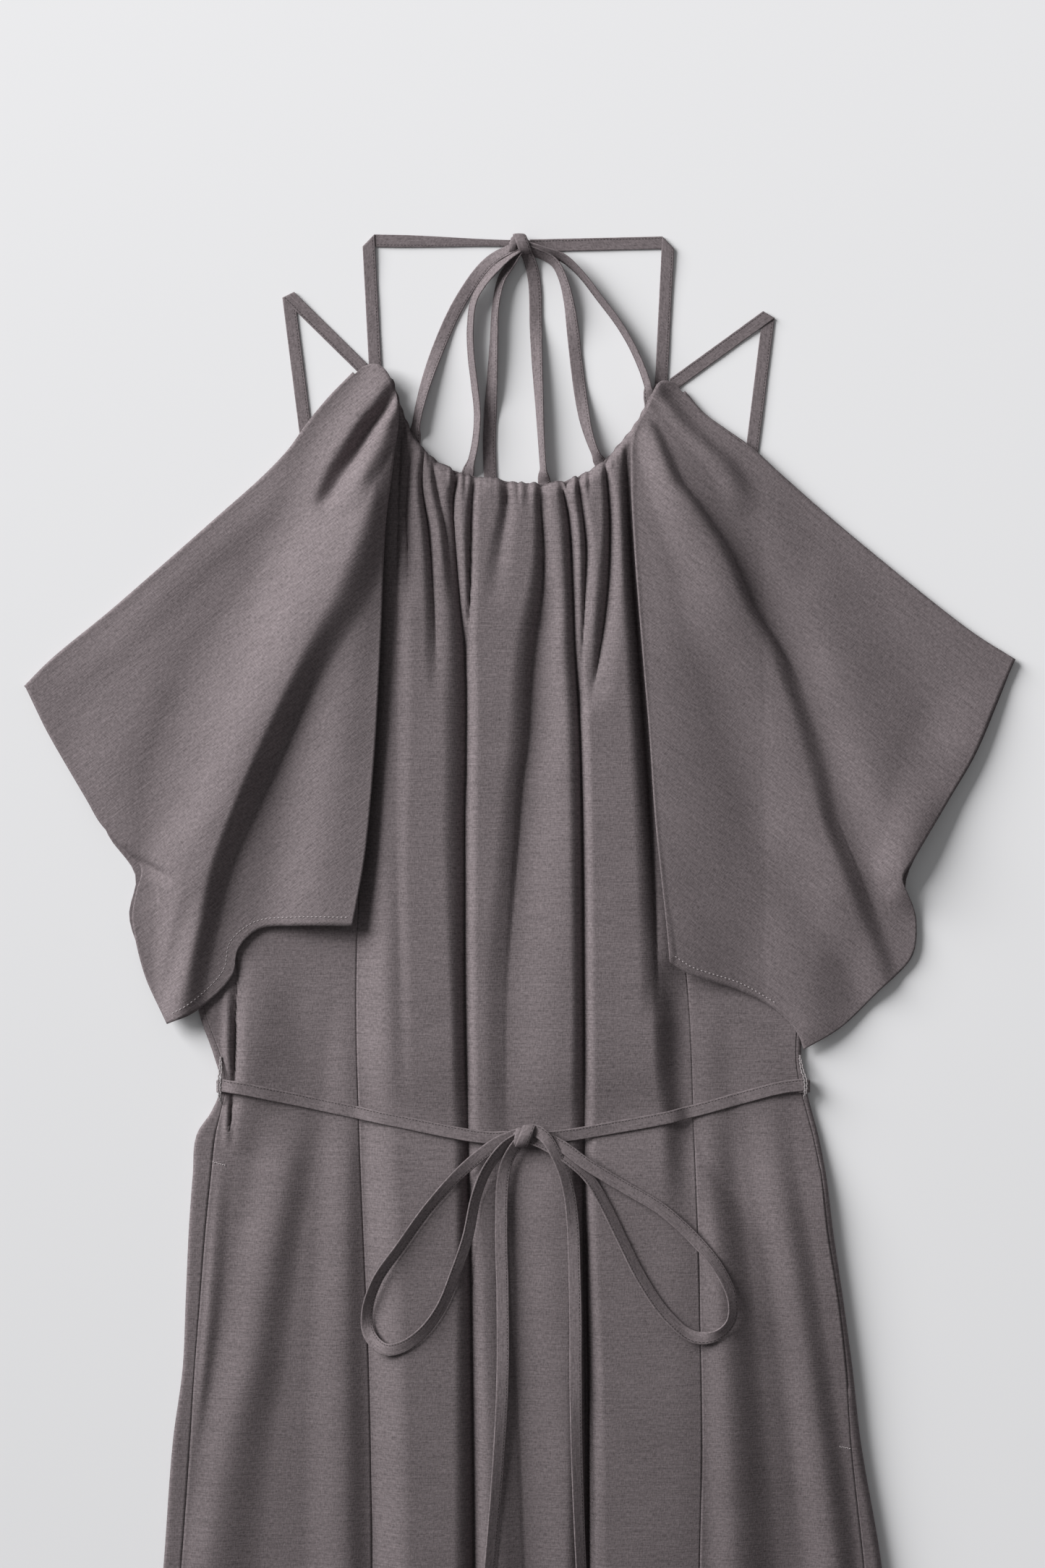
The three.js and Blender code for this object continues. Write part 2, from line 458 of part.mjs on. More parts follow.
// A closed surface swept through rings of points, with flat ends
function sweptSolid(rings) {
  const count = rings[0].length;
  const positions = rings.flat().flatMap((p) => [p.x, p.y, p.z]);
  const faces = [];
  for (let i = 0; i < rings.length - 1; i += 1) {
    for (let j = 0; j < count; j += 1) {
      const k = (j + 1) % count;
      const [a, b, c, d] = [i * count + j, i * count + k, (i + 1) * count + k, (i + 1) * count + j];
      faces.push(a, b, c, a, c, d);
    }
  }
  const end = (rings.length - 1) * count;
  for (let j = 1; j < count - 1; j += 1) {
    faces.push(0, j + 1, j);
    faces.push(end, end + j, end + j + 1);
  }
  return solidGeometry(positions, faces);
}

// A geometry whose faces point outwards, whichever way the rows ran
function solidGeometry(positions, faces) {
  const corner = (index) => new THREE.Vector3().fromArray(positions, index * 3);
  let volume = 0;
  for (let i = 0; i < faces.length; i += 3) {
    volume += corner(faces[i]).dot(corner(faces[i + 1]).cross(corner(faces[i + 2])));
  }
  const ordered = volume > 0 ? faces : faces.slice().reverse();
  const geometry = new THREE.BufferGeometry();
  geometry.setAttribute('position', new THREE.Float32BufferAttribute(positions, 3));
  geometry.setIndex(ordered);
  geometry.computeVertexNormals();
  return geometry;
}

function addPiece(name, geometry, look) {
  const mesh = new THREE.Mesh(geometry, new THREE.MeshStandardMaterial(look));
  mesh.name = name;
  dress.add(mesh);
}

function evenSteps(count) {
  return Array.from({ length: count + 1 }, (_, i) => i / count);
}

// Front centre panel: its top edge is the neckline, its columns run along the creases
const centerRows = [482, 470, 455, 435, 408, 375, 338, 298, 252, 228, 205, 158, 122, 100, 86, 72, 58, 44, 26, -5, -45, -90,
  -140, -200, -270, -355, -450, -545, -641];

function centerGrid(columns) {
  const lines = ['leftSeam', 'leftCrease', 'rightCrease', 'rightSeam'];
  const insets = [seamGap / 2, 0, 0, -seamGap / 2];
  return centerRows.map((rowY) => evenSteps(columns * 3).map((across) => {
    const bend = THREE.MathUtils.smoothstep(rowY, 180, centerRows[0]);
    const span = Math.min(Math.floor(across * 3), 2);
    const share = across * 3 - span;
    let x = THREE.MathUtils.lerp(-80, 82, across);
    let y = 0;
    for (let pass = 0; pass < 12; pass += 1) {
      const drop = (hemAt(x) - hemHeight) * THREE.MathUtils.clamp((200 - rowY) / 841, 0, 1);
      y = rowY + (necklineHeight(x) - centerRows[0]) * bend + drop;
      const [from, to] = [span, span + 1].map((i) => sectionValue(frontSections, y, lines[i]) + insets[i]);
      x = (x + THREE.MathUtils.lerp(from, to, share)) / 2;
    }
    return new THREE.Vector3(x, y, frontHeight(x, y));
  }));
}

// Heights of the rows that the side panels and the back share, closer where the belt passes
const sideRows = [441, 400, 355, 315, 285, 262, 240, 215, 190, 165, 145, 128, 114, 108, 103, 93, 88, 82, 72, 60, 40,
  20, -10, -45, -85, -130, -175, -230, -300, -370, -450, -545, -641];

function sideGrid(sideName, columns) {
  const left = sideName === 'left';
  return sideRows.map((rowY) => evenSteps(columns).map((across) => {
    const seam = sectionValue(sideSections, rowY, `${sideName}Seam`);
    const princess = sectionValue(frontSections, rowY, `${sideName}Seam`);
    const outer = seam + (left ? seamGap : -seamGap) / 2;
    const inner = princess + (left ? -seamGap : seamGap) / 2;
    const x = left ? THREE.MathUtils.lerp(outer, inner, across) : THREE.MathUtils.lerp(inner, outer, across);
    const y = rowY + (hemAt(x) - hemHeight) * THREE.MathUtils.clamp((200 - rowY) / 841, 0, 1);
    return new THREE.Vector3(x, y, frontHeight(x, y));
  }));
}

// The back lies flat, lifts over the belt that passes below it, and folds to the front at both edges
function backHeight(y) {
  const off = Math.max(Math.abs(y - beltHeight) - 4.5, 0) / 12;
  return backLevel + (off < 1 ? 2 * Math.cos(off * Math.PI / 2) ** 2 : 0);
}

function backRow(rowY, columns) {
  const value = (column) => sectionValue(sideSections, rowY, column);
  const bottom = backHeight(rowY);
  const radius = (frontLevel - bottom) / 2;
  const points = [];
  const turns = [90, 0, -90].map(THREE.MathUtils.degToRad);
  const arc = (edge, sign, turn) => [
    edge + sign * (clothThickness / 2 + radius * (1 - Math.cos(turn))), bottom + radius * (1 + Math.sin(turn))];
  points.push([value('leftSeam') - seamGap / 2, frontLevel]);
  turns.forEach((turn) => points.push(arc(value('leftEdge'), 1, turn)));
  evenSteps(columns).slice(1, -1).forEach((across) => {
    points.push([THREE.MathUtils.lerp(value('leftEdge'), value('rightEdge'), across), bottom]);
  });
  turns.reverse().forEach((turn) => points.push(arc(value('rightEdge'), -1, turn)));
  points.push([value('rightSeam') + seamGap / 2, frontLevel]);
  return points.map(([x, z]) => {
    const drop = (hemAt(x) - hemHeight) * THREE.MathUtils.clamp((200 - rowY) / 841, 0, 1);
    return new THREE.Vector3(x, rowY + drop, z);
  });
}

// How far a point lies over the body rather than beside it, from 1 to 0
function overBody(x, y) {
  const row = THREE.MathUtils.clamp(y, 100, backTop);
  const above = THREE.MathUtils.clamp((y - backTop) / 110, 0, 1);
  const left = THREE.MathUtils.lerp(sectionValue(sideSections, row, 'leftEdge') + 3, -92, above);
  const right = THREE.MathUtils.lerp(sectionValue(sideSections, row, 'rightEdge') - 3, 96, above);
  const outside = Math.max(left - x, x - right, 0);
  return THREE.MathUtils.smoothstep(1 - outside / 34, 0, 1);
}

// The layer below lifts a little over the shoulder strap that passes under it
function underHeight(sleeve, x, y) {
  const off = Math.max(nearest(sleeve.strapBridge, x, y).distance - 18, 0) / 22;
  return backLevel + (off < 1 ? 2.4 * Math.cos(off * Math.PI / 2) ** 2 : 0);
}

function sleeveHeight(sleeve, x, y, fromFold) {
  const body = overBody(x, y);
  const under = underHeight(sleeve, x, y) + sleeveLevel;
  const onBody = Math.max(frontEnvelope(x, y, 9) + sleeveOverBody, under);
  const settled = THREE.MathUtils.lerp(under, onBody, body);
  const loose = THREE.MathUtils.smoothstep(fromFold, 0, 26);
  return THREE.MathUtils.lerp(under, settled, loose) + foldsHeight(sleeve.folds, x, y) * loose;
}

// A surface blended between four edges: top and bottom run across, the sides run down
function blendEdges(top, bottom, inner, outer, across, down) {
  const point = new THREE.Vector3();
  point.addScaledVector(top(across), 1 - down).addScaledVector(bottom(across), down);
  point.addScaledVector(inner(down), 1 - across).addScaledVector(outer(down), across);
  point.addScaledVector(top(0), -(1 - across) * (1 - down)).addScaledVector(top(1), -across * (1 - down));
  point.addScaledVector(bottom(0), -(1 - across) * down).addScaledVector(bottom(1), -across * down);
  return point;
}

// The inner edge of the layer below: free to the back's top edge, then a little outside the back's side
const underRows = [441, 355, 285, 262, 240, 215, 190, 150];
const underClearance = 2;

function underInnerPoints({ underStart, side }) {
  const outward = side === 'leftEdge' ? -1 : 1;
  const besideBack = underRows.map((y) => [sectionValue(sideSections, y, side) + outward * underClearance, y]);
  return [...underStart, ...besideBack];
}

// A sleeve is one sheet that runs up the front layer, round the upper fold and down the layer below
function sleeveGrid(sleeve, columns, frontRows) {
  const edges = Object.fromEntries(['fold', 'outer', 'inner', 'hem', 'underOuter', 'underHem']
    .map((key) => [key, lineThrough(sleeve[key])]));
  const underInner = underInnerPoints(sleeve);
  const steps = underInner.length - 1;
  const underInnerAt = (down) => {
    const i = Math.min(Math.floor(down * steps + 1e-6), steps - 1);
    const [a, b] = [underInner[i], underInner[i + 1]].map(([x, y]) => new THREE.Vector3(x, y, 0));
    return a.lerp(b, down * steps - i);
  };
  const inset = sleeveFoldRadius + clothThickness / 2;
  const inward = (across) => {
    const tangent = edges.fold(across + 0.01).sub(edges.fold(across - 0.01)).normalize();
    const normal = new THREE.Vector3(-tangent.y, tangent.x, 0);
    return normal.y > 0 ? normal.negate() : normal;
  };
  const rows = [];
  evenSteps(frontRows).slice(1).reverse().forEach((step) => {
    const down = step ** 1.15;
    rows.push(evenSteps(columns).map((across) => {
      const p = blendEdges(edges.fold, edges.hem, edges.inner, edges.outer, across, down);
      const fromFold = nearest(sleeve.fold, p.x, p.y).distance;
      p.addScaledVector(inward(across), inset * Math.max(1 - fromFold / 30, 0));
      p.z = sleeveHeight(sleeve, p.x, p.y, fromFold);
      return p;
    }));
  });
  [90, 0, -90].forEach((degrees) => {
    const turn = THREE.MathUtils.degToRad(degrees);
    rows.push(evenSteps(columns).map((across) => {
      const edge = edges.fold(across);
      const bottom = underHeight(sleeve, edge.x, edge.y);
      const p = edge.addScaledVector(inward(across), clothThickness / 2 + sleeveFoldRadius * (1 - Math.cos(turn)));
      p.z = bottom + sleeveFoldRadius * (1 + Math.sin(turn));
      return p;
    }));
  });
  evenSteps(steps).slice(1).forEach((down) => {
    rows.push(evenSteps(columns).map((across) => {
      const p = blendEdges(edges.fold, edges.underHem, underInnerAt, edges.underOuter, across, down);
      p.z = underHeight(sleeve, p.x, p.y);
      return p;
    }));
  });
  return rows;
}

// Casing strip just inside the neckline, below the gathered cloth
function casingGrid() {
  const line = lineThrough(neckline.map(({ x, y }) => [x, y]));
  return [1, -4, -9].map((offset) => evenSteps(26).map((share) => {
    const p = line(share);
    const tangent = line(share + 0.01).sub(line(share - 0.01)).normalize();
    return new THREE.Vector3(p.x - tangent.y * offset, p.y + tangent.x * offset, casingLevel);
  }));
}

// The outline of a strap whose two legs meet in a flat diagonal fold
function foldedStrapShape({ start, corner, end }) {
  const [p, c, q] = [start, corner, end].map(([x, y]) => new THREE.Vector2(x, y));
  const first = c.clone().sub(p).normalize();
  const second = q.clone().sub(c).normalize();
  const half = strapWidth / 2;
  const turn = Math.sign(first.cross(second));
  const outside = (direction) => new THREE.Vector2(direction.y, -direction.x).multiplyScalar(turn * half);
  const fold = first.clone().add(second).normalize();
  const reach = half / Math.abs(fold.cross(first));
  const inner = c.clone().sub(first.clone().sub(second).multiplyScalar(half / Math.abs(first.cross(second))));
  const outline = [
    p.clone().add(outside(first)), c.clone().addScaledVector(fold, -reach), c.clone().addScaledVector(fold, reach),
    q.clone().add(outside(second)), q.clone().sub(outside(second)), inner, p.clone().sub(outside(first))];
  return new THREE.Shape(outline);
}

// Height at which a flat tie rests on the front: on the highest cloth within its reach
function restOnFront(x, y, level) {
  return frontEnvelope(x, y, 8) + clothThickness * 0.75 + seamGap + strapThickness / 2 + level * strapThickness;
}

function restOnSurface(x, y, level) {
  return strapLevel + level * (clothThickness + seamGap);
}

// A flat tie with softened edges along a route. It bridges the hollows: each ring takes the highest
// rest within the window of steps, so that the straight run to the next ring stays clear of the cloth.
function tieSolid(route, rest, stepLength, window) {
  const curve = new THREE.CatmullRomCurve3(
    route.map(({ x, y, level }) => new THREE.Vector3(x, y, level * 10)), false, 'centripetal');
  const count = Math.round(curve.getLength() / stepLength);
  const restAt = (share) => {
    const p = curve.getPointAt(THREE.MathUtils.clamp(share, 0, 1));
    return rest(p.x, p.y, Math.max(p.z / 10, 0));
  };
  const middle = evenSteps(count).map((share) => {
    const p = curve.getPointAt(share);
    const parts = [-1, -0.66, -0.33, 0, 0.33, 0.66, 1].map((part) => part * window / count);
    const z = Math.max(...parts.map((part) => restAt(share + part)));
    return new THREE.Vector3(p.x, p.y, z);
  });
  const widths = route.map((row) => row.width);
  const rings = middle.map((p, i) => {
    const ahead = middle[Math.min(i + 1, count)].clone().sub(middle[Math.max(i - 1, 0)]).normalize();
    const across = new THREE.Vector3(-ahead.y, ahead.x, 0).normalize();
    const up = ahead.clone().cross(across);
    const half = alongTable(widths, curve.getUtoTmapping(i / count)) / 2;
    const flat = half - strapThickness / 2;
    const corner = (a, b) => p.clone().addScaledVector(across, a).addScaledVector(up, b * strapThickness / 2);
    return [corner(half, 0), corner(flat, 1), corner(-flat, 1), corner(-half, 0), corner(-flat, -1), corner(flat, -1)];
  });
  return sweptSolid(rings);
}

// Belt round the back: flat below the back panel, turned up round both side edges to the front
function beltBackSolid() {
  const half = strapThickness / 2;
  const edges = (side) => [-5, 0, 5].map((dy) => sectionValue(sideSections, beltHeight + dy, side));
  const left = Math.min(...edges('leftEdge')) - seamGap - half;
  const right = Math.max(...edges('rightEdge')) + seamGap + half;
  const leftTop = restOnFront(left + 8, beltHeight, 0);
  const rightTop = restOnFront(right - 8, beltHeight, 0);
  const bend = 1.4;
  const upLeft = [[beltBackEnds.left, leftTop], [left + bend, leftTop], [left, leftTop - bend], [left, half + bend],
    [left + bend, half]];
  const upRight = [[right - bend, half], [right, half + bend], [right, rightTop - bend], [right - bend, rightTop],
    [beltBackEnds.right, rightTop]];
  const middle = evenSteps(6).slice(1, -1).map((share) => [THREE.MathUtils.lerp(left, right, share), half]);
  const path = [...upLeft, ...middle, ...upRight].map(([x, z]) => new THREE.Vector3(x, beltHeight, z));
  const rings = path.map((p, i) => {
    const ahead = path[Math.min(i + 1, path.length - 1)].clone().sub(path[Math.max(i - 1, 0)]).normalize();
    const normal = new THREE.Vector3(-ahead.z, 0, ahead.x).multiplyScalar(half);
    const corner = (dy, sign) => p.clone().addScaledVector(normal, sign).add(new THREE.Vector3(0, dy, 0));
    const wide = strapWidth / 2;
    return [corner(wide, 1), corner(-wide, 1), corner(-wide, -1), corner(wide, -1)];
  });
  return sweptSolid(rings);
}

// A tied knot: a rounded lump with two wraps that lean across it
function knotSolid({ x, y, halfLength, halfWidth, halfHeight }, z) {
  const rings = evenSteps(9).map((share) => {
    const lengthwise = -Math.cos(share * Math.PI);
    const girth = Math.max(Math.sin(share * Math.PI), 0.25) ** 0.6;
    return evenSteps(10).slice(0, -1).map((around) => {
      const angle = around * 2 * Math.PI;
      const wrap = 1 - 0.1 * Math.cos(2 * Math.PI * (2 * share + around)) ** 2;
      return new THREE.Vector3(
        x + halfLength * lengthwise, y + halfWidth * girth * wrap * Math.cos(angle),
        z + halfHeight * girth * wrap * Math.sin(angle));
    });
  });
  return sweptSolid(rings);
}

// A thread chain over the belt, fastened above and below it
function threadLoopSolid({ x, top, bottom }) {
  const low = frontLevel + clothThickness / 2 + seamGap + threadLoopThickness / 2;
  const high = restOnFront(x, beltHeight, 0) + strapThickness / 2 + seamGap + threadLoopThickness / 2;
  const curve = new THREE.CatmullRomCurve3([
    new THREE.Vector3(x, top, low), new THREE.Vector3(x, beltHeight + 6.5, high),
    new THREE.Vector3(x, beltHeight, high), new THREE.Vector3(x, beltHeight - 6.5, high),
    new THREE.Vector3(x, bottom, low)]);
  const rings = evenSteps(10).map((share) => {
    const p = curve.getPoint(share);
    const ahead = curve.getTangent(share);
    const up = new THREE.Vector3(0, -ahead.z, ahead.y);
    return evenSteps(6).slice(0, -1).map((around) => {
      const angle = around * 2 * Math.PI;
      const radius = threadLoopThickness / 2;
      return p.clone().addScaledVector(up, radius * Math.sin(angle)).add(
        new THREE.Vector3(radius * Math.cos(angle), 0, 0));
    });
  });
  return sweptSolid(rings);
}

// A pocket bag: flat, rounded at the bottom, reaching in from the side seam's mouth
function pocketShape({ side, mouthX, top, bottom }) {
  const inward = -side;
  const inset = 3;
  const round = 45;
  const outerX = mouthX + inward * inset;
  const innerX = mouthX + inward * pocketBag.width;
  const floor = bottom - pocketBag.depth;
  const shape = new THREE.Shape();
  shape.moveTo(outerX, top);
  shape.lineTo(innerX + side * round, top);
  shape.quadraticCurveTo(innerX, top, innerX, top - round);
  shape.lineTo(innerX, floor + round);
  shape.quadraticCurveTo(innerX, floor, innerX + side * round, floor);
  shape.lineTo(outerX + inward * round, floor);
  shape.quadraticCurveTo(outerX, floor + round, outerX, bottom);
  shape.closePath();
  return shape;
}

function flatSolid(shape, thickness, z) {
  const geometry = new THREE.ExtrudeGeometry(shape, { depth: thickness, bevelEnabled: false, curveSegments: 6 });
  geometry.translate(0, 0, z);
  return geometry;
}

addPiece('front_center_panel', clothSolid(centerGrid(10)), cloth);
addPiece('front_side_panel_left', clothSolid(sideGrid('left', 8)), cloth);
addPiece('front_side_panel_right', clothSolid(sideGrid('right', 8)), cloth);
addPiece('back_panel', clothSolid(sideRows.map((y) => backRow(y, 5))), cloth);
addPiece('sleeve_left', clothSolid(sleeveGrid(sleeves.left, 15, 17)), cloth);
addPiece('sleeve_right', clothSolid(sleeveGrid(sleeves.right, 15, 17)), cloth);
addPiece('neckline_casing', clothSolid(casingGrid()), cloth);

for (const strap of foldedStraps) {
  addPiece(strap.name, flatSolid(foldedStrapShape(strap), strapThickness, 0), strapCloth);
}
for (const tie of neckTies) {
  addPiece(tie.name, tieSolid(tie.route, restOnSurface, 15, 0), strapCloth);
}
for (const tie of [...beltTies, ...beltFronts]) {
  addPiece(tie.name, tieSolid(tie.route, restOnFront, 15, 1), strapCloth);
}
addPiece('belt_back', beltBackSolid(), strapCloth);
addPiece('neck_knot', knotSolid(knots[0], knots[0].halfHeight), strapCloth);
addPiece('belt_knot', knotSolid(knots[1], restOnFront(knots[1].x, knots[1].y, 0) + knots[1].halfHeight - strapLevel), strapCloth);
for (const loop of threadLoops) {
  addPiece(loop.name, threadLoopSolid(loop), thread);
}
for (const bag of pocketBags) {
  const lift = backLevel + clothThickness / 2 + pocketBag.lift;
  addPiece(bag.name, flatSolid(pocketShape(bag), pocketBag.thickness, lift), cloth);
}

export default dress;
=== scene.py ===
"""A halter dress laid flat: its cloth, straps, ties and belt, with the studio that shows it from above."""
import math

import bmesh
import bpy
import numpy as np
from bpy.props import FloatProperty, FloatVectorProperty, IntProperty, PointerProperty
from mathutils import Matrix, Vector


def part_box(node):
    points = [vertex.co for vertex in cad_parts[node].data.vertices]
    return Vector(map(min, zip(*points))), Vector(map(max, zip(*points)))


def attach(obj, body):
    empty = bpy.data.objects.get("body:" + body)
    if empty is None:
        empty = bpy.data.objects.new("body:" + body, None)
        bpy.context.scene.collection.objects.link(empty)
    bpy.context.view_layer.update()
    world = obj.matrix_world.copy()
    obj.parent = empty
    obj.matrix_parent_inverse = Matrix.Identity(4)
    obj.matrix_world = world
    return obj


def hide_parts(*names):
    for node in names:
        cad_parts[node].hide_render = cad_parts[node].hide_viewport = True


bl_info = {
    "name": "Halter Dress",
    "version": (1, 0, 0),
    "blender": (4, 5, 0),
    "location": "3D View > Sidebar > Dress",
    "description": "Builds a halter dress with cape sleeves, laid flat, and the studio around it",
    "category": "Add Mesh",
}

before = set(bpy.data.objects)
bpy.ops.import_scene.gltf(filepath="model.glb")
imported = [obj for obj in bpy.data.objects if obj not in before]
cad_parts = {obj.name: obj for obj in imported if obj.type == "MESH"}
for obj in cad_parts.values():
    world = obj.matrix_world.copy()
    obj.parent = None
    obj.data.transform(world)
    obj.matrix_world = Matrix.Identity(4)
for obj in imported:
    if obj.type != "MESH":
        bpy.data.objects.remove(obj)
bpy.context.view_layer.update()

# Sizes that the solids share with this file, in millimetres
CLOTH = 1.2
SEAM_GAP = 0.4
SEAM = 0.12
STRAP_THICKNESS = 1.6
HEM = -641
HEM_RISE = 12
HEM_HALF_WIDTH = 262
BACK_TOP = 441
SIDE_FOLD_RADIUS = 1.9
SLEEVE_FOLD_RADIUS = 1.5
BELT_HEIGHT = 98
BACK_LEVEL = CLOTH / 2
FRONT_LEVEL = BACK_LEVEL + 2 * SIDE_FOLD_RADIUS
SLEEVE_LEVEL = 2 * SLEEVE_FOLD_RADIUS
CASING_LEVEL = FRONT_LEVEL - 1.6
SIDE_LIFT = 5
TO_METRES = 0.001

# Princess seams and the two deep creases between them, and how high the cloth rises between
FRONT_SECTIONS = (
    {"y": 548, "left_seam": -82, "left_crease": -40, "right_crease": 26, "right_seam": 88, "rise": 3},
    {"y": 520, "left_seam": -83.5, "left_crease": -40, "right_crease": 26, "right_seam": 82, "rise": 5},
    {"y": 487, "left_seam": -86, "left_crease": -39, "right_crease": 27, "right_seam": 80, "rise": 8},
    {"y": 455, "left_seam": -88.5, "left_crease": -41.5, "right_crease": 31, "right_seam": 80.8, "rise": 9.5},
    {"y": 430, "left_seam": -90.4, "left_crease": -40, "right_crease": 33, "right_seam": 82.3, "rise": 10},
    {"y": 405, "left_seam": -92.3, "left_crease": -38, "right_crease": 34, "right_seam": 84.1, "rise": 10.5},
    {"y": 375, "left_seam": -94.5, "left_crease": -35.5, "right_crease": 35, "right_seam": 86.3, "rise": 11},
    {"y": 308, "left_seam": -98.6, "left_crease": -35.3, "right_crease": 38.5, "right_seam": 91, "rise": 11},
    {"y": 238, "left_seam": -102, "left_crease": -35, "right_crease": 39.5, "right_seam": 97.9, "rise": 11},
    {"y": 154, "left_seam": -104, "left_crease": -34.8, "right_crease": 40.7, "right_seam": 107.5, "rise": 11},
    {"y": 66, "left_seam": -102, "left_crease": -33, "right_crease": 41, "right_seam": 111, "rise": 11},
    {"y": -55, "left_seam": -97, "left_crease": -31, "right_crease": 42, "right_seam": 114.5, "rise": 12},
    {"y": -124, "left_seam": -95, "left_crease": -30, "right_crease": 43, "right_seam": 115.5, "rise": 13},
    {"y": -210, "left_seam": -94, "left_crease": -29, "right_crease": 43, "right_seam": 114, "rise": 14},
    {"y": -425, "left_seam": -95, "left_crease": -29.5, "right_crease": 44, "right_seam": 114, "rise": 15},
    {"y": -641, "left_seam": -97, "left_crease": -30, "right_crease": 45, "right_seam": 115, "rise": 16},
)

# Outer edges of the body, and the side seams a little inside them
SIDE_SECTIONS = (
    {"y": 441, "left_edge": -136, "left_seam": -131.5, "right_seam": 144.5, "right_edge": 149},
    {"y": 360, "left_edge": -152, "left_seam": -147.5, "right_seam": 158.5, "right_edge": 163},
    {"y": 285, "left_edge": -184, "left_seam": -179.5, "right_seam": 179.5, "right_edge": 184},
    {"y": 240, "left_edge": -214, "left_seam": -209.5, "right_seam": 195.5, "right_edge": 200},
    {"y": 190, "left_edge": -211, "left_seam": -206, "right_seam": 187, "right_edge": 190.5},
    {"y": 145, "left_edge": -204.7, "left_seam": -200.5, "right_seam": 178, "right_edge": 181.5},
    {"y": 115, "left_edge": -194.5, "left_seam": -190, "right_seam": 176, "right_edge": 179.5},
    {"y": 98, "left_edge": -190.5, "left_seam": -187, "right_seam": 178.5, "right_edge": 182},
    {"y": 80, "left_edge": -197, "left_seam": -190.5, "right_seam": 183, "right_edge": 186.5},
    {"y": 67, "left_edge": -205.6, "left_seam": -193.5, "right_seam": 186.5, "right_edge": 190},
    {"y": 40, "left_edge": -208.5, "left_seam": -196.5, "right_seam": 191.7, "right_edge": 195.2},
    {"y": 5, "left_edge": -211, "left_seam": -200, "right_seam": 195.5, "right_edge": 199.5},
    {"y": -40, "left_edge": -213, "left_seam": -203.5, "right_seam": 202.5, "right_edge": 206},
    {"y": -85, "left_edge": -215, "left_seam": -207, "right_seam": 207.5, "right_edge": 212},
    {"y": -130, "left_edge": -221, "left_seam": -209.7, "right_seam": 210.5, "right_edge": 217},
    {"y": -210, "left_edge": -227, "left_seam": -215.3, "right_seam": 218.8, "right_edge": 230.3},
    {"y": -425, "left_edge": -245, "left_seam": -232, "right_seam": 238, "right_edge": 252},
    {"y": -641, "left_edge": -262, "left_seam": -248, "right_seam": 259, "right_edge": 274},
)

# The neckline, from the left corner to the right
NECKLINE = ((-82, 548), (-75, 526), (-68, 511), (-58, 499), (-38, 487), (-19, 484), (5, 480.5), (30, 482.5), (43, 488),
            (53, 494), (64, 506), (75, 520), (88, 545))

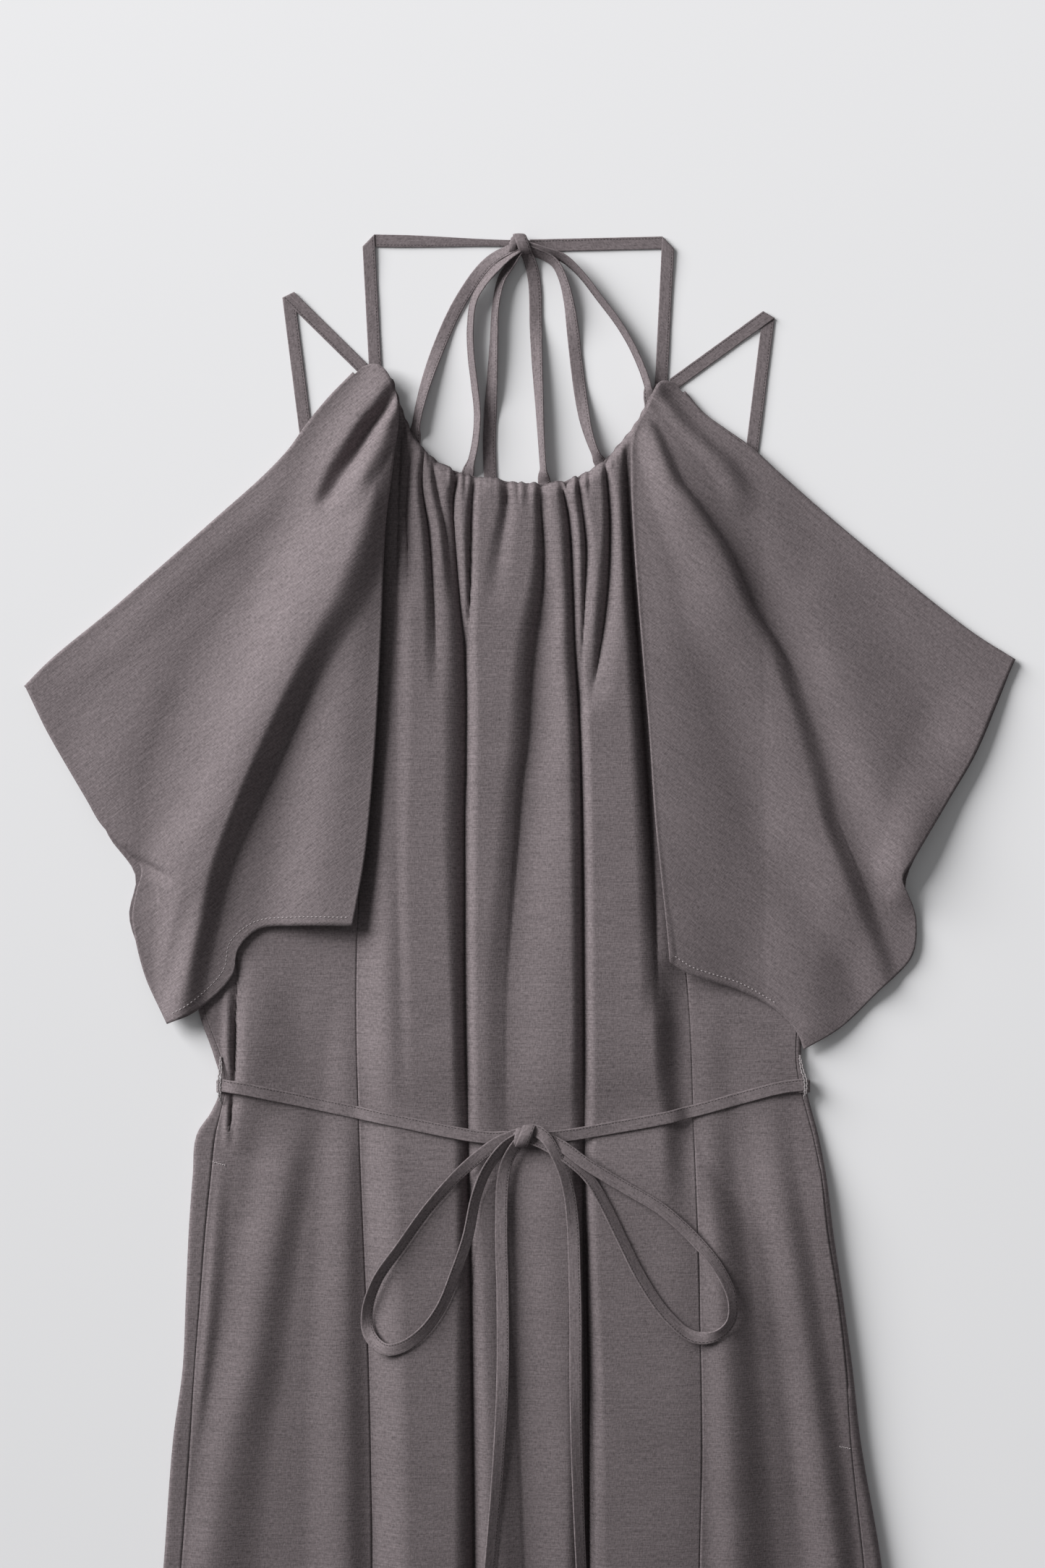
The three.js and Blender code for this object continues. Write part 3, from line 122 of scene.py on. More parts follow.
# Creases of the front, each a row of x, y, depth, reach to the left and reach to the right, from the neck down
FRONT_CREASES = {
    "seam gather": ((-75, 524, 2, 4, 4), (-77, 480, 4, 5, 6), (-78, 440, 4, 6, 8), (-78, 400, 3, 7, 9),
                    (-78, 330, 2.5, 8, 8), (-78, 240, 2, 9, 6), (-76, 170, 1.5, 9, 6), (-74, 80, 0, 9, 6)),
    "first gather": ((-69, 512, 2.5, 4, 4), (-72, 462, 6, 5, 6), (-71, 440, 6, 5, 7), (-70, 400, 0, 5, 7)),
    "dark gather": ((-61, 503, 3, 3, 3), (-62, 480, 6.5, 4, 5), (-58, 452, 8.5, 4, 8), (-55, 410, 6, 5, 9),
                    (-52, 345, 0, 7, 9)),
    "third gather": ((-56.5, 497, 3, 3, 3), (-52, 475, 5, 4, 5), (-47, 450, 5, 4, 6), (-42, 405, 0, 5, 6)),
    "left crease": ((-39, 489, 5, 4, 3), (-42, 470, 8, 6, 4), (-40, 432, 10, 9, 4), (-38, 407, 11, 11, 5),
                    (-35, 375, 12, 12, 6), (-35, 250, 12, 11, 6), (-34.8, 144, 12, 7, 6), (-31.7, 6, 12, 7, 6),
                    (-30, -108, 12.5, 9, 8), (-29, -210, 13, 10, 9), (-29.5, -425, 14, 13, 10),
                    (-30, -655, 15, 15, 10)),
    "narrow pleat": ((-29.5, 486, 4, 2.5, 3), (-31, 452, 7, 3.5, 4), (-32, 402, 7, 3.5, 4), (-34, 360, 0, 3, 4)),
    "small pleat": ((-7, 483, 5, 3, 4), (-9, 462, 4, 5, 6), (-13, 435, 2.5, 7, 8), (-17, 400, 0, 8, 9)),
    "middle shadow": ((12.5, 482.5, 4, 3, 5), (14.5, 449, 8, 5, 9), (15, 430, 9, 6, 11), (14, 413, 9.5, 8, 14),
                      (9.5, 385, 9.5, 10, 18), (6.5, 356, 9.5, 10, 24), (4.5, 319, 8.5, 10, 28), (1, 291, 7.5, 10, 30),
                      (-2, 250, 6.5, 11, 32), (-5.5, 205, 5.2, 12, 32), (-8, 170, 4, 12, 30), (-9, 133, 3.4, 11, 28),
                      (-9, 80, 3.4, 10, 26), (-6, -40, 4, 12, 26), (-1, -120, 5, 13, 28), (3, -210, 5.5, 14, 28),
                      (4, -420, 6, 14, 28), (4, -655, 6, 14, 28)),
    "right crease": ((25.8, 483, 5, 3.5, 3), (27.8, 476, 7, 4.5, 3), (31, 460, 9, 5, 4), (33.7, 415, 10, 6, 5),
                     (35, 377, 11, 7, 5), (38, 330, 11, 7, 5), (40.7, 154, 11, 6, 5), (41.2, -8, 12, 8, 6),
                     (43, -86, 13, 10, 8), (43, -210, 14, 11, 9), (44, -425, 15, 13, 12), (45, -655, 16, 13, 12)),
    "open gap": ((41, 30, 0, 1.5, 1.5), (42, -60, 8, 1.8, 1.8), (43, -210, 12, 2.4, 2.4), (45, -655, 12, 3, 3)),
    "second pleat": ((36.9, 485.5, 4, 2.5, 3), (42, 443, 7.5, 3.5, 5), (41.2, 409, 6, 4, 6), (40, 377, 5, 4, 7),
                     (38.8, 330, 0, 4, 7)),
    "round gather": ((54, 495.5, 5, 3, 3.5), (56.3, 474, 8, 3.5, 5), (57.2, 454, 9, 4, 5.5), (56.5, 422, 9, 6, 7),
                     (53.5, 392, 8.5, 7, 9), (50, 370, 7, 8, 11), (46, 348, 3, 9, 12), (43, 335, 0, 9, 12)),
    "right gap": ((67, 508, 2, 4, 4), (69, 480, 5, 5, 4), (71, 441, 8, 6, 5), (76, 375, 9, 8, 6), (81, 310, 10, 9, 7),
                  (84, 255, 10, 9, 8), (86, 205, 9, 9, 12), (87, 168, 5, 9, 16), (88, 140, 0, 10, 16)),
    "waist tuck": ((-180, 175, 3, 0.7, 0.7), (-181, 138, 7, 0.8, 0.7), (-181.4, 112, 9, 0.9, 0.7),
                   (-181.9, 100, 10, 1, 0.7), (-182.8, 92, 11, 2, 0.7), (-183.6, 82, 10, 2.8, 0.7),
                   (-184.4, 74, 6, 1.6, 0.7), (-184.8, 69, 0, 1, 0.7)),
}

# Broad soft folds of the skirt's sides, each a row of x, y, height, reach to the left and to the right
SIDE_FOLDS = {
    "left side ridge": ((-140, 150, 0, 20, 22), (-150, 44, 4, 24, 20), (-158, -1, 5, 24, 20), (-164, -37, 5, 24, 22),
                        (-172, -81, 5.5, 24, 24), (-183, -126, 5.5, 22, 28), (-196, -210, 6, 22, 34),
                        (-206, -420, 8, 22, 40), (-212, -655, 10, 24, 44)),
    "left seam ridge": ((-108, 165, 0, 14, 18), (-110, 60, 3, 18, 14), (-112, -40, 4, 22, 16), (-112, -130, 5, 26, 18),
                        (-110, -300, 6, 28, 18), (-108, -655, 8, 32, 20)),
    "left edge ridge": ((-190, 60, 0, 6, 9), (-196, -20, 2, 6, 10), (-202, -80, 2, 5, 8), (-212, -140, 0, 5, 8)),
    "waist ridge": ((-168, 180, 0, 12, 30), (-173, 140, 6, 13, 38), (-174, 96, 9, 12, 38), (-177, 74, 5, 12, 34),
                    (-178, 52, 0, 12, 34)),
    "waist bank": ((-185.5, 165, 0, 5, 4), (-185.8, 135, 5, 5, 4), (-186, 112, 6.5, 4, 4), (-187, 90, 7, 4, 4),
                   (-186, 74, 4, 4, 4), (-187, 60, 0, 4, 4)),
    "right valley": ((93, 182, 0, 12, 16), (96, 150, -6, 13, 15), (98, 107, -7, 13, 13), (101, 80, -6, 13, 12),
                     (103, 40, -2.5, 14, 12), (104, 5, 0, 14, 12)),
    "right seam ridge": ((117, 170, 0, 16, 18), (121, 60, 3.5, 14, 18), (127, -10, 5, 16, 20), (132, -80, 5.5, 18, 22),
                         (138, -210, 6, 22, 28), (144, -655, 9, 26, 36)),
    "right side ridge": ((156, 130, 0, 18, 18), (162, 50, 2.5, 18, 16), (172, -10, 4, 18, 16), (184, -90, 5, 20, 16),
                         (200, -210, 6, 22, 16), (212, -420, 8, 26, 20), (220, -655, 10, 30, 24)),
}
FOLD_FADE = 6

# Sleeve outlines, and the folds of each: rows of x, y, height, reach to the left and to the right
SLEEVES = {
    "left": {
        "fold": ((-106.5, 553), (-122, 537), (-136, 520), (-147, 504.5), (-161.5, 489), (-194, 460), (-228, 430),
                 (-262.5, 400), (-299, 370), (-316, 353)),
        "outer": ((-316, 353), (-299, 320), (-275.5, 280), (-267, 265.5), (-252.6, 250), (-241, 236), (-244.5, 221),
                  (-246.8, 206), (-244.5, 190), (-237.5, 165), (-224, 138)),
        "inner": ((-106.5, 553), (-99, 558), (-90, 557.5), (-82.5, 549), (-77, 530), (-80, 495), (-85, 454),
                  (-88, 380), (-92, 308), (-98, 245), (-106, 200.5)),
        "hem": ((-106, 200.5), (-141.5, 200.5), (-166, 198), (-179, 185), (-183, 168), (-206, 146), (-224, 138)),
        "under_outer": ((-316, 353), (-296, 318), (-272, 281), (-262, 257), (-245, 232), (-249, 205), (-233, 166),
                        (-219, 143)),
        "under_start": ((-106.5, 553), (-122, 500)),
        "under_hem": ((-208, 150), (-214, 146), (-219, 143)),
        "strap_bridge": ((-147, 600), (-137, 517), (-126, 430)),
        "side": "left_edge",
        "lift": 3.5,
    },
    "right": {
        "fold": ((105.5, 541), (117, 527.5), (131, 517), (148, 505), (164.3, 490), (198.5, 460), (234.5, 430),
                 (271.8, 400), (292, 385), (316, 370)),
        "outer": ((316, 370), (303.5, 342), (289, 308), (275.6, 285), (252, 246), (243.2, 230.8), (244.2, 226),
                  (250.5, 212), (252.5, 203), (250, 181), (228.5, 158.5), (205, 136), (180.5, 121.5)),
        "inner": ((105.5, 541), (99, 547), (90, 547), (81, 531), (72, 514), (70.5, 490), (72.5, 442), (78, 371),
                  (82, 324), (86, 266), (93, 200), (95, 177.5)),
        "hem": ((95, 177.5), (107, 170), (140, 159), (165, 145), (177, 131), (180.5, 121.5)),
        "under_outer": ((316, 370), (305, 343), (290, 308), (265, 266), (246, 228), (248, 205), (245, 182),
                        (225, 160), (202, 139)),
        "under_start": ((105.5, 541), (132, 496)),
        "under_hem": ((184.6, 150), (193, 144), (202, 139)),
        "strap_bridge": ((159, 590), (148, 504), (139, 430)),
        "side": "right_edge",
        "lift": 0.6,
    },
}
UNDER_ROWS = (441, 355, 285, 262, 240, 215, 190, 150)
UNDER_CLEARANCE = 2

SLEEVE_FOLDS = {
    "left": {
        "long ridge": ((-82, 505, 4, 14, 12), (-91, 482, 8, 26, 18), (-103, 450, 12, 38, 25), (-120, 411, 15, 50, 26),
                       (-137, 377, 16.5, 58, 21), (-152.5, 344, 17, 66, 17.5), (-168, 310, 16, 66, 15.5),
                       (-184, 273, 14, 60, 14.5), (-196.5, 239, 12, 48, 14.5), (-205.5, 200, 10, 30, 15),
                       (-214, 160, 8, 20, 16), (-218.5, 138, 7, 16, 17)),
        "inner swell": ((-92, 470, 2, 14, 10), (-108, 380, 3, 26, 22), (-122, 290, 4, 34, 34), (-134, 200, 3, 34, 34)),
        "cap valley": ((-80, 539, -5, 8, 5), (-87, 527, -8, 9, 6), (-94, 517.5, -9, 10, 6), (-104, 501, -9, 11, 6),
                       (-113, 487, -8, 12, 6), (-121, 473, -6, 10, 8), (-128, 462, 0, 8, 10)),
        "cap ridge": ((-78, 530, 3, 7, 6), (-86, 513, 6, 9, 8), (-96, 494, 6, 10, 10), (-106, 474, 3, 12, 12),
                      (-112, 462, 0, 12, 12)),
        "upper band": ((-130, 520, 0, 26, 24), (-170, 478, 2.5, 34, 28), (-225, 432, 3, 38, 30),
                       (-280, 372, 1.5, 30, 26), (-300, 350, 0, 24, 24)),
        "outer swell": ((-200, 420, 0, 50, 40), (-235, 350, 3, 50, 44), (-250, 290, 4, 40, 50), (-236, 240, 3, 26, 36)),
        "notch crease": ((-250, 246, -2, 9, 7), (-240, 240, -4.5, 9, 5), (-231, 235, -4, 8, 5), (-220, 228, 0, 8, 6)),
        "lower valley": ((-205, 228, 0, 10, 12), (-213, 200, -2.5, 10, 12), (-220, 170, -2, 9, 11), (-224, 145, 0, 9, 11)),
    },
    "right": {
        "overlap ridge": ((75, 520, 3, 10, 5), (81.5, 517, 4, 12, 6), (97.4, 478.7, 7, 18, 6), (108, 464.7, 8.5, 24, 6),
                          (127.4, 434.7, 10, 34, 6.5), (141.6, 401, 10, 42, 7), (157.5, 372, 8, 46, 9),
                          (171, 338, 6, 50, 14), (182, 300, 5, 50, 16), (192, 262, 6, 46, 12), (204, 232, 7, 40, 12),
                          (215, 205, 6.5, 32, 12), (226, 180, 4, 24, 12), (232, 162, 2, 20, 12)),
        "cap ridge": ((88, 541, 4, 7, 5), (104, 520, 5, 9, 6), (120, 504, 5, 10, 6), (133, 490, 4, 12, 9),
                      (146, 462, 0, 16, 16)),
        "outer swell": ((140, 490, 0, 24, 24), (178, 420, 4, 28, 44), (212, 340, 6, 34, 54), (236, 270, 7, 30, 44),
                        (246, 225, 5, 24, 24)),
        "raised edge": ((306, 356, 0, 30, 30), (294, 330, 2.5, 36, 36), (278, 298, 4, 40, 40), (258, 262, 5, 30, 36),
                        (244, 236, 4.5, 22, 26)),
        "lower swell": ((112, 330, 0, 30, 30), (140, 250, 2.5, 44, 44), (176, 178, 3.5, 44, 44), (190, 140, 3, 34, 34)),
    },
}

FOLDED_STRAPS = {
    "neck_strap_left": {"start": (-5.5, 635.2), "corner": (-96.4, 636.9), "end": (-91.4, 541), "taper": 0.52},
    "neck_strap_right": {"start": (6.5, 633.6), "corner": (94.6, 635.6), "end": (89.6, 533)},
    "shoulder_strap_left": {"start": (-99.8, 555.2), "corner": (-147.6, 602.2), "end": (-127.4, 442.4)},
    "shoulder_strap_right": {"start": (97.6, 545.2), "corner": (158.8, 589.6), "end": (140.6, 442.4)},
}

# Ties that lie free: rows of x, y, the width that shows as they turn on edge, and the layers of tie below
NECK_TIES = {
    "neck_bow_loop_left": (
        (0, 633.6, 5, 1.2), (-7.8, 630, 6, 1.2), (-17, 625, 7, 0), (-26, 616, 8, 0), (-40, 594.5, 8, 0), (-50.5, 571.5, 8, 0),
        (-59, 548, 7, 0), (-65, 525, 5, 0), (-67.5, 506, 5, 0), (-67, 488, 6, 0), (-61, 472, 7, 0), (-51, 464, 7, 0),
        (-41, 469, 6, 0), (-34, 486, 5, 0), (-29, 504, 4, 0), (-27, 525, 4, 0), (-29, 546, 4, 0), (-31, 563, 4, 0),
        (-31.5, 582, 4, 0), (-29, 599, 4, 0.3), (-22, 610.5, 5, 1.2), (-14, 619.5, 5, 1.6), (-6.2, 626.8, 5, 1.8), (0, 631, 5, 1.6)),
    "neck_bow_tail_left": (
        (1, 632, 5, 1.2), (-1.7, 627.7, 5, 1.2), (-6, 621, 6, 0), (-11.5, 612, 5, 0), (-15.3, 595, 4, 0), (-16.5, 571.5, 5, 0),
        (-17.5, 550, 6.5, 0), (-18.6, 529, 8, 0), (-19.4, 508, 8, 0), (-18.8, 485, 8, 0), (-18, 462, 8, 0),
        (-18, 448, 8, 1), (-18.5, 430, 8, 1), (-20, 402, 8, 1)),
    "neck_bow_tail_right": (
        (1.5, 632, 6, 1.4), (4.6, 627.5, 7, 1.2), (7.6, 620, 8, 0), (9.6, 608, 8, 0), (10.3, 582, 8, 0), (11, 561, 7, 0),
        (12.5, 533, 5, 0), (13.8, 508, 3.6, 0), (15.6, 482, 3.6, 0), (17, 462, 6, 0), (18, 448, 7, 1),
        (19, 430, 8, 1), (20, 402, 8, 1)),
    "neck_bow_loop_right": (
        (2, 632, 4, 1.2), (8.2, 629.4, 4, 1.2), (16, 626.6, 4, 0), (22.6, 622, 4, 0), (27.6, 612, 5, 0),
        (31.4, 597, 6, 0),
        (34, 578, 8, 0), (36.5, 556, 8, 0), (39.5, 534, 8, 0), (42.5, 518, 6, 0), (47, 504, 4, 0), (52.5, 493, 4, 0),
        (60, 482, 6, 0), (70, 479, 7, 0), (79, 486, 7, 0), (83.5, 500, 6, 0), (84.2, 518, 4, 0), (82, 542, 4, 0),
        (74, 564, 3.4, 0), (64, 582, 3.4, 0), (51, 599.5, 3.4, 0), (38, 616, 3.4, 0.4), (27, 625.4, 3.4, 1.2),
        (17, 628.6, 3.4, 1.8), (9.4, 631, 3.4, 1.8), (2, 633.4, 3.4, 1.6)),
}

BELT_TIES = {
    "belt_bow_tail_left": (
        (2, 66.5, 5, 1), (-2.8, 61, 5, 1.2), (-8.2, 51, 7, 0), (-10.8, 38, 8, 0), (-11.6, 4, 8, 0), (-10.8, -31, 8, 0),
        (-10.8, -85, 8, 0), (-13, -130, 7, 0), (-16.5, -175, 6, 0), (-19.5, -210, 6, 0), (-22, -245, 7, 0),
        (-23, -282, 8, 0)),
    "belt_bow_tail_right": (
        (3, 69, 6, 2.4), (9, 71.2, 6, 3), (15.5, 67.6, 6, 3.4), (22, 58, 6, 3), (27.5, 46, 6.5, 1.8),
        (31.6, 30, 7, 0.6), (33.8, 10, 8, 0), (34.6, -13, 8, 0), (35.4, -48, 8, 0),
        (35.4, -85, 8, 0), (36, -130, 7, 0), (37.5, -175, 6, 0), (39, -210, 5, 0), (41, -250, 7, 0),
        (42, -300, 8, 0)),
    "belt_bow_loop_left": (
        (2, 69.5, 7, 1.6), (-6, 66.6, 7.5, 1.6), (-14, 63, 8, 1.4), (-24, 56, 8, 1.2), (-38.5, 43.5, 7, 0), (-57.4, 22.7, 5, 0), (-75, -1.6, 5, 0),
        (-90.4, -24, 5, 0), (-97, -45, 6, 0), (-95.5, -59, 8, 0), (-86, -67.5, 8, 0), (-75, -66, 7, 0),
        (-62, -57, 6, 0), (-50, -41, 5, 0), (-40, -17, 6, 0), (-33, 3.6, 6, 0), (-27.5, 29.7, 5, 0),
        (-20.5, 47, 5, 1.2), (-9.5, 61, 5, 1), (0, 67, 5, 1)),
    "belt_bow_loop_right": (
        (3, 68, 6, 1.4), (11.7, 67.4, 6, 1.8), (26, 61.5, 7, 1.8), (42, 50, 7, 1.2), (64, 36.6, 7, 0), (90, 21, 7, 0), (111, 2, 7, 0),
        (126.5, -17, 6, 0), (134.5, -36, 5, 0), (133, -50, 4, 0), (123, -58.8, 4, 0), (110, -59.5, 5, 0),
        (94, -46.7, 6, 0), (78, -24, 6, 0), (64, 3.6, 6, 0), (52.5, 27, 6, 0), (43, 42, 5, 0),
        (30, 53.5, 5, 1), (15, 62.5, 5, 1), (4, 67, 5, 1)),
}

BELT_FRONTS = {
    "belt_front_left": ((-190.2, 99, 8, 0.9), (-176, 97, 8, 0.9), (-150, 91.5, 8, 0), (-110, 83, 8, 0),
                        (-70, 75, 8, 0), (-40, 69, 7, 0), (-20, 66, 6, 0), (-6.6, 66.4, 5, 0.3)),
    "belt_front_right": ((11.1, 65.9, 5, 0.2), (26, 67, 7, 0), (60, 72.5, 8, 0), (100, 80, 8, 0), (140, 90.5, 8, 0),
                         (166, 97.4, 8, 0.9), (181.6, 99.2, 8, 0.9)),
}
BELT_BACK_ENDS = (-186, 177.5)
# Share of the cloth's colour kept at the hem: painted shade where the light falls off
LOWER_PAINTED_SHADE = 0.8

KNOTS = {
    "neck_knot": {"place": (0.2, 634.2), "half_size": (8.8, 5.8, 3.6), "shift": 1.6, "lean": -2.0},
    "belt_knot": {"place": (2.2, 67.4), "half_size": (8.4, 6.6, 4.0), "shift": 1.2, "lean": 2.4},
}

# Room that a knot's band takes up under its core, in mm
BAND_ROOM = 1.9

# Thread loops over the belt: rows of x, y and height over the strap, from the top down
THREAD_LOOPS = {
    "thread_loop_left": ((-190.4, 117, -3), (-190.2, 110, -1.6), (-190.6, 104, 0.3), (-191, 98, 0.6),
                         (-190.6, 92.5, 0.3), (-190, 87, -2.4)),
    "thread_loop_right": ((178.2, 118, -3), (179.6, 109, -1.6), (181.4, 103, 0.3), (181.8, 98, 0.6),
                          (181.4, 93.5, 0.3), (180.8, 90, -2)),
}

# Stitched lines: rows of x and y
HEM_STITCHES = {
    "left": ((-108.5, 206), (-141, 206), (-168, 203), (-184, 190), (-188.5, 172), (-209, 151.5), (-221, 144.5)),
    "right": ((98, 181.5), (109, 174.5), (141, 163.5), (163, 151)),
}
BAR_TACKS = {"left": ((-195.6, 50), (-187, 47.6)), "right": ((203, -130.4), (211.5, -132))}


# Sizes and colours that a user would change

class ClothSettings(bpy.types.PropertyGroup):
    """The dress's cloth"""
    thickness: FloatProperty(name="Thickness", description="Thickness of the cloth as it shows", default=0.0009,
                             unit="LENGTH", min=0.0003, max=0.002)
    dark: FloatVectorProperty(name="Dark fibre", description="Colour of the darker fibres", subtype="COLOR", size=3,
                              default=(0.112, 0.095, 0.099), min=0, max=1)
    light: FloatVectorProperty(name="Light fibre", description="Colour of the lighter fibres", subtype="COLOR", size=3,
                               default=(0.250, 0.213, 0.222), min=0, max=1)
    thread: FloatVectorProperty(name="Thread", description="Colour of the sewing thread", subtype="COLOR", size=3,
                                default=(0.420, 0.380, 0.388), min=0, max=1)


class TieSettings(bpy.types.PropertyGroup):
    """Straps, ties and belt"""
    width: FloatProperty(name="Strap width", description="Width of every strap and tie", default=0.008, unit="LENGTH",
                         min=0.004, max=0.02)
    thickness: FloatProperty(name="Strap thickness", description="Thickness of a folded strap", default=0.001,
                             unit="LENGTH", min=0.0006, max=0.003)
    stitch_pitch: FloatProperty(name="Stitch pitch", description="Distance from one strap stitch to the next",
                                default=0.0021, unit="LENGTH", min=0.001, max=0.006)
    steps: IntProperty(name="Steps", description="Sections along each tie", default=120, min=40, max=300)


class StudioSettings(bpy.types.PropertyGroup):
    """Camera, light and the surface below"""
    camera_height: FloatProperty(name="Camera height", description="Height of the camera above the surface",
                                 default=2.4, unit="LENGTH", min=0.5, max=6)
    lens: FloatProperty(name="Lens", description="Focal length in millimetres", default=86.4, min=20, max=200)
    key_power: FloatProperty(name="Key power", description="Power of the large soft light", default=630, unit="POWER",
                             min=0, max=5000)
    surface: FloatVectorProperty(name="Surface", description="Colour of the surface below the dress", subtype="COLOR",
                                 size=3, default=(0.855, 0.855, 0.87), min=0, max=1)


# Curves and tables

def columns_at(rows, y, column):
    """One column of a table sorted by falling y, smoothly interpolated at an array of heights."""
    ys = np.array([row["y"] for row in rows], float)[::-1]
    values = np.array([row[column] for row in rows], float)[::-1]
    return smooth_values(ys, values, y)


def smooth_values(places, values, wanted):
    """Smooth interpolation through values at rising places."""
    slopes = np.diff(values) / np.diff(places)
    tangents = np.concatenate(([slopes[0]], (slopes[:-1] + slopes[1:]) / 2, [slopes[-1]]))
    wanted = np.clip(wanted, places[0], places[-1])
    i = np.clip(np.searchsorted(places, wanted, side="right") - 1, 0, len(places) - 2)
    span = places[i + 1] - places[i]
    t = (wanted - places[i]) / span
    start = (2 * t**3 - 3 * t**2 + 1) * values[i] + (t**3 - 2 * t**2 + t) * span * tangents[i]
    end = (3 * t**2 - 2 * t**3) * values[i + 1] + (t**3 - t**2) * span * tangents[i + 1]
    return start + end


def smooth_step(value, low, high):
    t = np.clip((value - low) / (high - low), 0, 1)
    return t * t * (3 - 2 * t)


def spline(points, count=60):
    """Dense points of a centripetal curve through the given points."""
    p = np.array(points, float)
    p = np.vstack([2 * p[0] - p[1], p, 2 * p[-1] - p[-2]])
    dense = []
    for a, b, c, d in zip(p[:-3], p[1:-2], p[2:-1], p[3:]):
        t0, t1 = 0.0, max(np.linalg.norm(b - a), 1e-6) ** 0.5
        t2 = t1 + max(np.linalg.norm(c - b), 1e-6) ** 0.5
        t3 = t2 + max(np.linalg.norm(d - c), 1e-6) ** 0.5
        t = np.linspace(t1, t2, count, endpoint=False)[:, None]
        a1 = (t1 - t) / (t1 - t0) * a + (t - t0) / (t1 - t0) * b
        a2 = (t2 - t) / (t2 - t1) * b + (t - t1) / (t2 - t1) * c
        a3 = (t3 - t) / (t3 - t2) * c + (t - t2) / (t3 - t2) * d
        b1 = (t2 - t) / (t2 - t0) * a1 + (t - t0) / (t2 - t0) * a2
        b2 = (t3 - t) / (t3 - t1) * a2 + (t - t1) / (t3 - t1) * a3
        dense.append((t2 - t) / (t2 - t1) * b1 + (t - t1) / (t2 - t1) * b2)
    dense.append(p[-2][None, :])
    return np.vstack(dense)


def along_line(dense, share):
    """Points at shares of the length of a dense line."""
    steps = np.linalg.norm(np.diff(dense[:, :2], axis=0), axis=1)
    length = np.concatenate(([0], np.cumsum(steps)))
    wanted = np.clip(share, 0, 1) * length[-1]
    return np.stack([np.interp(wanted, length, dense[:, k]) for k in range(dense.shape[1])], axis=-1)


def line_length(dense):
    return float(np.linalg.norm(np.diff(dense, axis=0), axis=1).sum())


# Heights of the cloth

def neckline_height(x):
    xs, ys = zip(*NECKLINE)
    return np.interp(x, xs, ys)


def hem_at(x):
    return HEM + HEM_RISE * (x / HEM_HALF_WIDTH) ** 2


def crease_depth(rows, x, y):
    """Depth of a crease that runs downwards: two rolls of cloth meet in it where it is deep."""
    table = np.array(rows, float)[::-1]
    places = table[:, 1]
    middle = smooth_values(places, table[:, 0], y)
    depth = np.interp(y, places, table[:, 2])
    over = np.where(y > places[-1], np.exp(-((y - places[-1]) / 4.0) ** 2), 1.0)
    under = np.where(y < places[0], 0.0, 1.0)
    reach = np.where(x < middle, np.interp(y, places, table[:, 3]), np.interp(y, places, table[:, 4]))
    off = np.maximum(np.abs(x - middle) - 0.05 * depth, 0)
    near = 1 - np.clip(off / (1.25 * reach), 0, 1)
    rolled = 1 - np.sqrt(1 - near**2)
    soft = np.sin(near * math.pi / 2) ** 2
    crisp = np.clip(depth / 8, 0.1, 0.85) * np.clip((17 - reach) / 5, 0, 1)
    return depth * (rolled * crisp + soft * (1 - crisp)) * over * under


def soft_fold(rows, x, y):
    """Height of a broad fold that runs downwards."""
    table = np.array(rows, float)[::-1]
    places = table[:, 1]
    middle = smooth_values(places, table[:, 0], y)
    height = smooth_values(places, table[:, 2], y)
    inside = (y >= places[0]) & (y <= places[-1])
    reach = np.where(x < middle, np.interp(y, places, table[:, 3]), np.interp(y, places, table[:, 4]))
    offset = np.clip(np.abs(x - middle) / reach, 0, 1)
    return np.where(inside, height * np.cos(offset * math.pi / 2) ** 2, 0.0)


def raised_height(x, y):
    """Height of the gathered cloth between the princess seams, before its creases."""
    left, right, rise = (columns_at(FRONT_SECTIONS, y, column) for column in ("left_seam", "right_seam", "rise"))
    from_left = np.clip((x - left) / 25, 0, 1)
    spread = 60 * smooth_step(-y, -80, 40)
    from_right = np.clip((right + spread - x) / (19 + spread), 0, 1)
    return rise * np.sin(np.minimum(from_left, from_right) * math.pi / 2) ** 1.4


def belt_line(x):
    return BELT_HEIGHT - 32 * (1 - np.minimum(np.abs(x) / 190, 1))


def front_height(x, y, creases=True):
    """Height of the front's middle surface, in millimetres."""
    x, y = np.asarray(x, float), np.asarray(y, float)
    folds = raised_height(x, y)
    for rows in SIDE_FOLDS.values():
        folds = folds + soft_fold(rows, x, y)
    if creases:
        for rows in FRONT_CREASES.values():
            folds = folds - crease_depth(rows, x, y)
    lowest = np.where(((np.abs(x) > 24) & (np.abs(x) < 50)) | (x < -178), -2.0, -0.6)
    folds = np.maximum(folds, lowest)
    drawn_in = 1 - 0.45 * np.exp(-(((y - belt_line(x)) / 26) ** 2))
    row = np.clip(y, HEM, BACK_TOP)
    from_left = x - columns_at(SIDE_SECTIONS, row, "left_seam")
    from_right = columns_at(SIDE_SECTIONS, row, "right_seam") - x
    fade = smooth_step(np.minimum(from_left, from_right), 0, FOLD_FADE)
    return FRONT_LEVEL + folds * drawn_in * fade + side_lift(x, y)


def side_lift(x, y):
    """How much more the skirt's right side stands off the surface."""
    return SIDE_LIFT * smooth_step(x, 110, 176) * smooth_step(-y, -76, -10)


def front_envelope(x, y, reach):
    """Highest cloth of the front within a reach."""
    highest = front_height(x, y, creases=False)
    for turn in np.arange(8) * math.pi / 4:
        for part in (0.5, 1):
            dx, dy = math.cos(turn) * reach * part, math.sin(turn) * reach * part
            highest = np.maximum(highest, front_height(x + dx, y + dy, creases=False))
    return highest


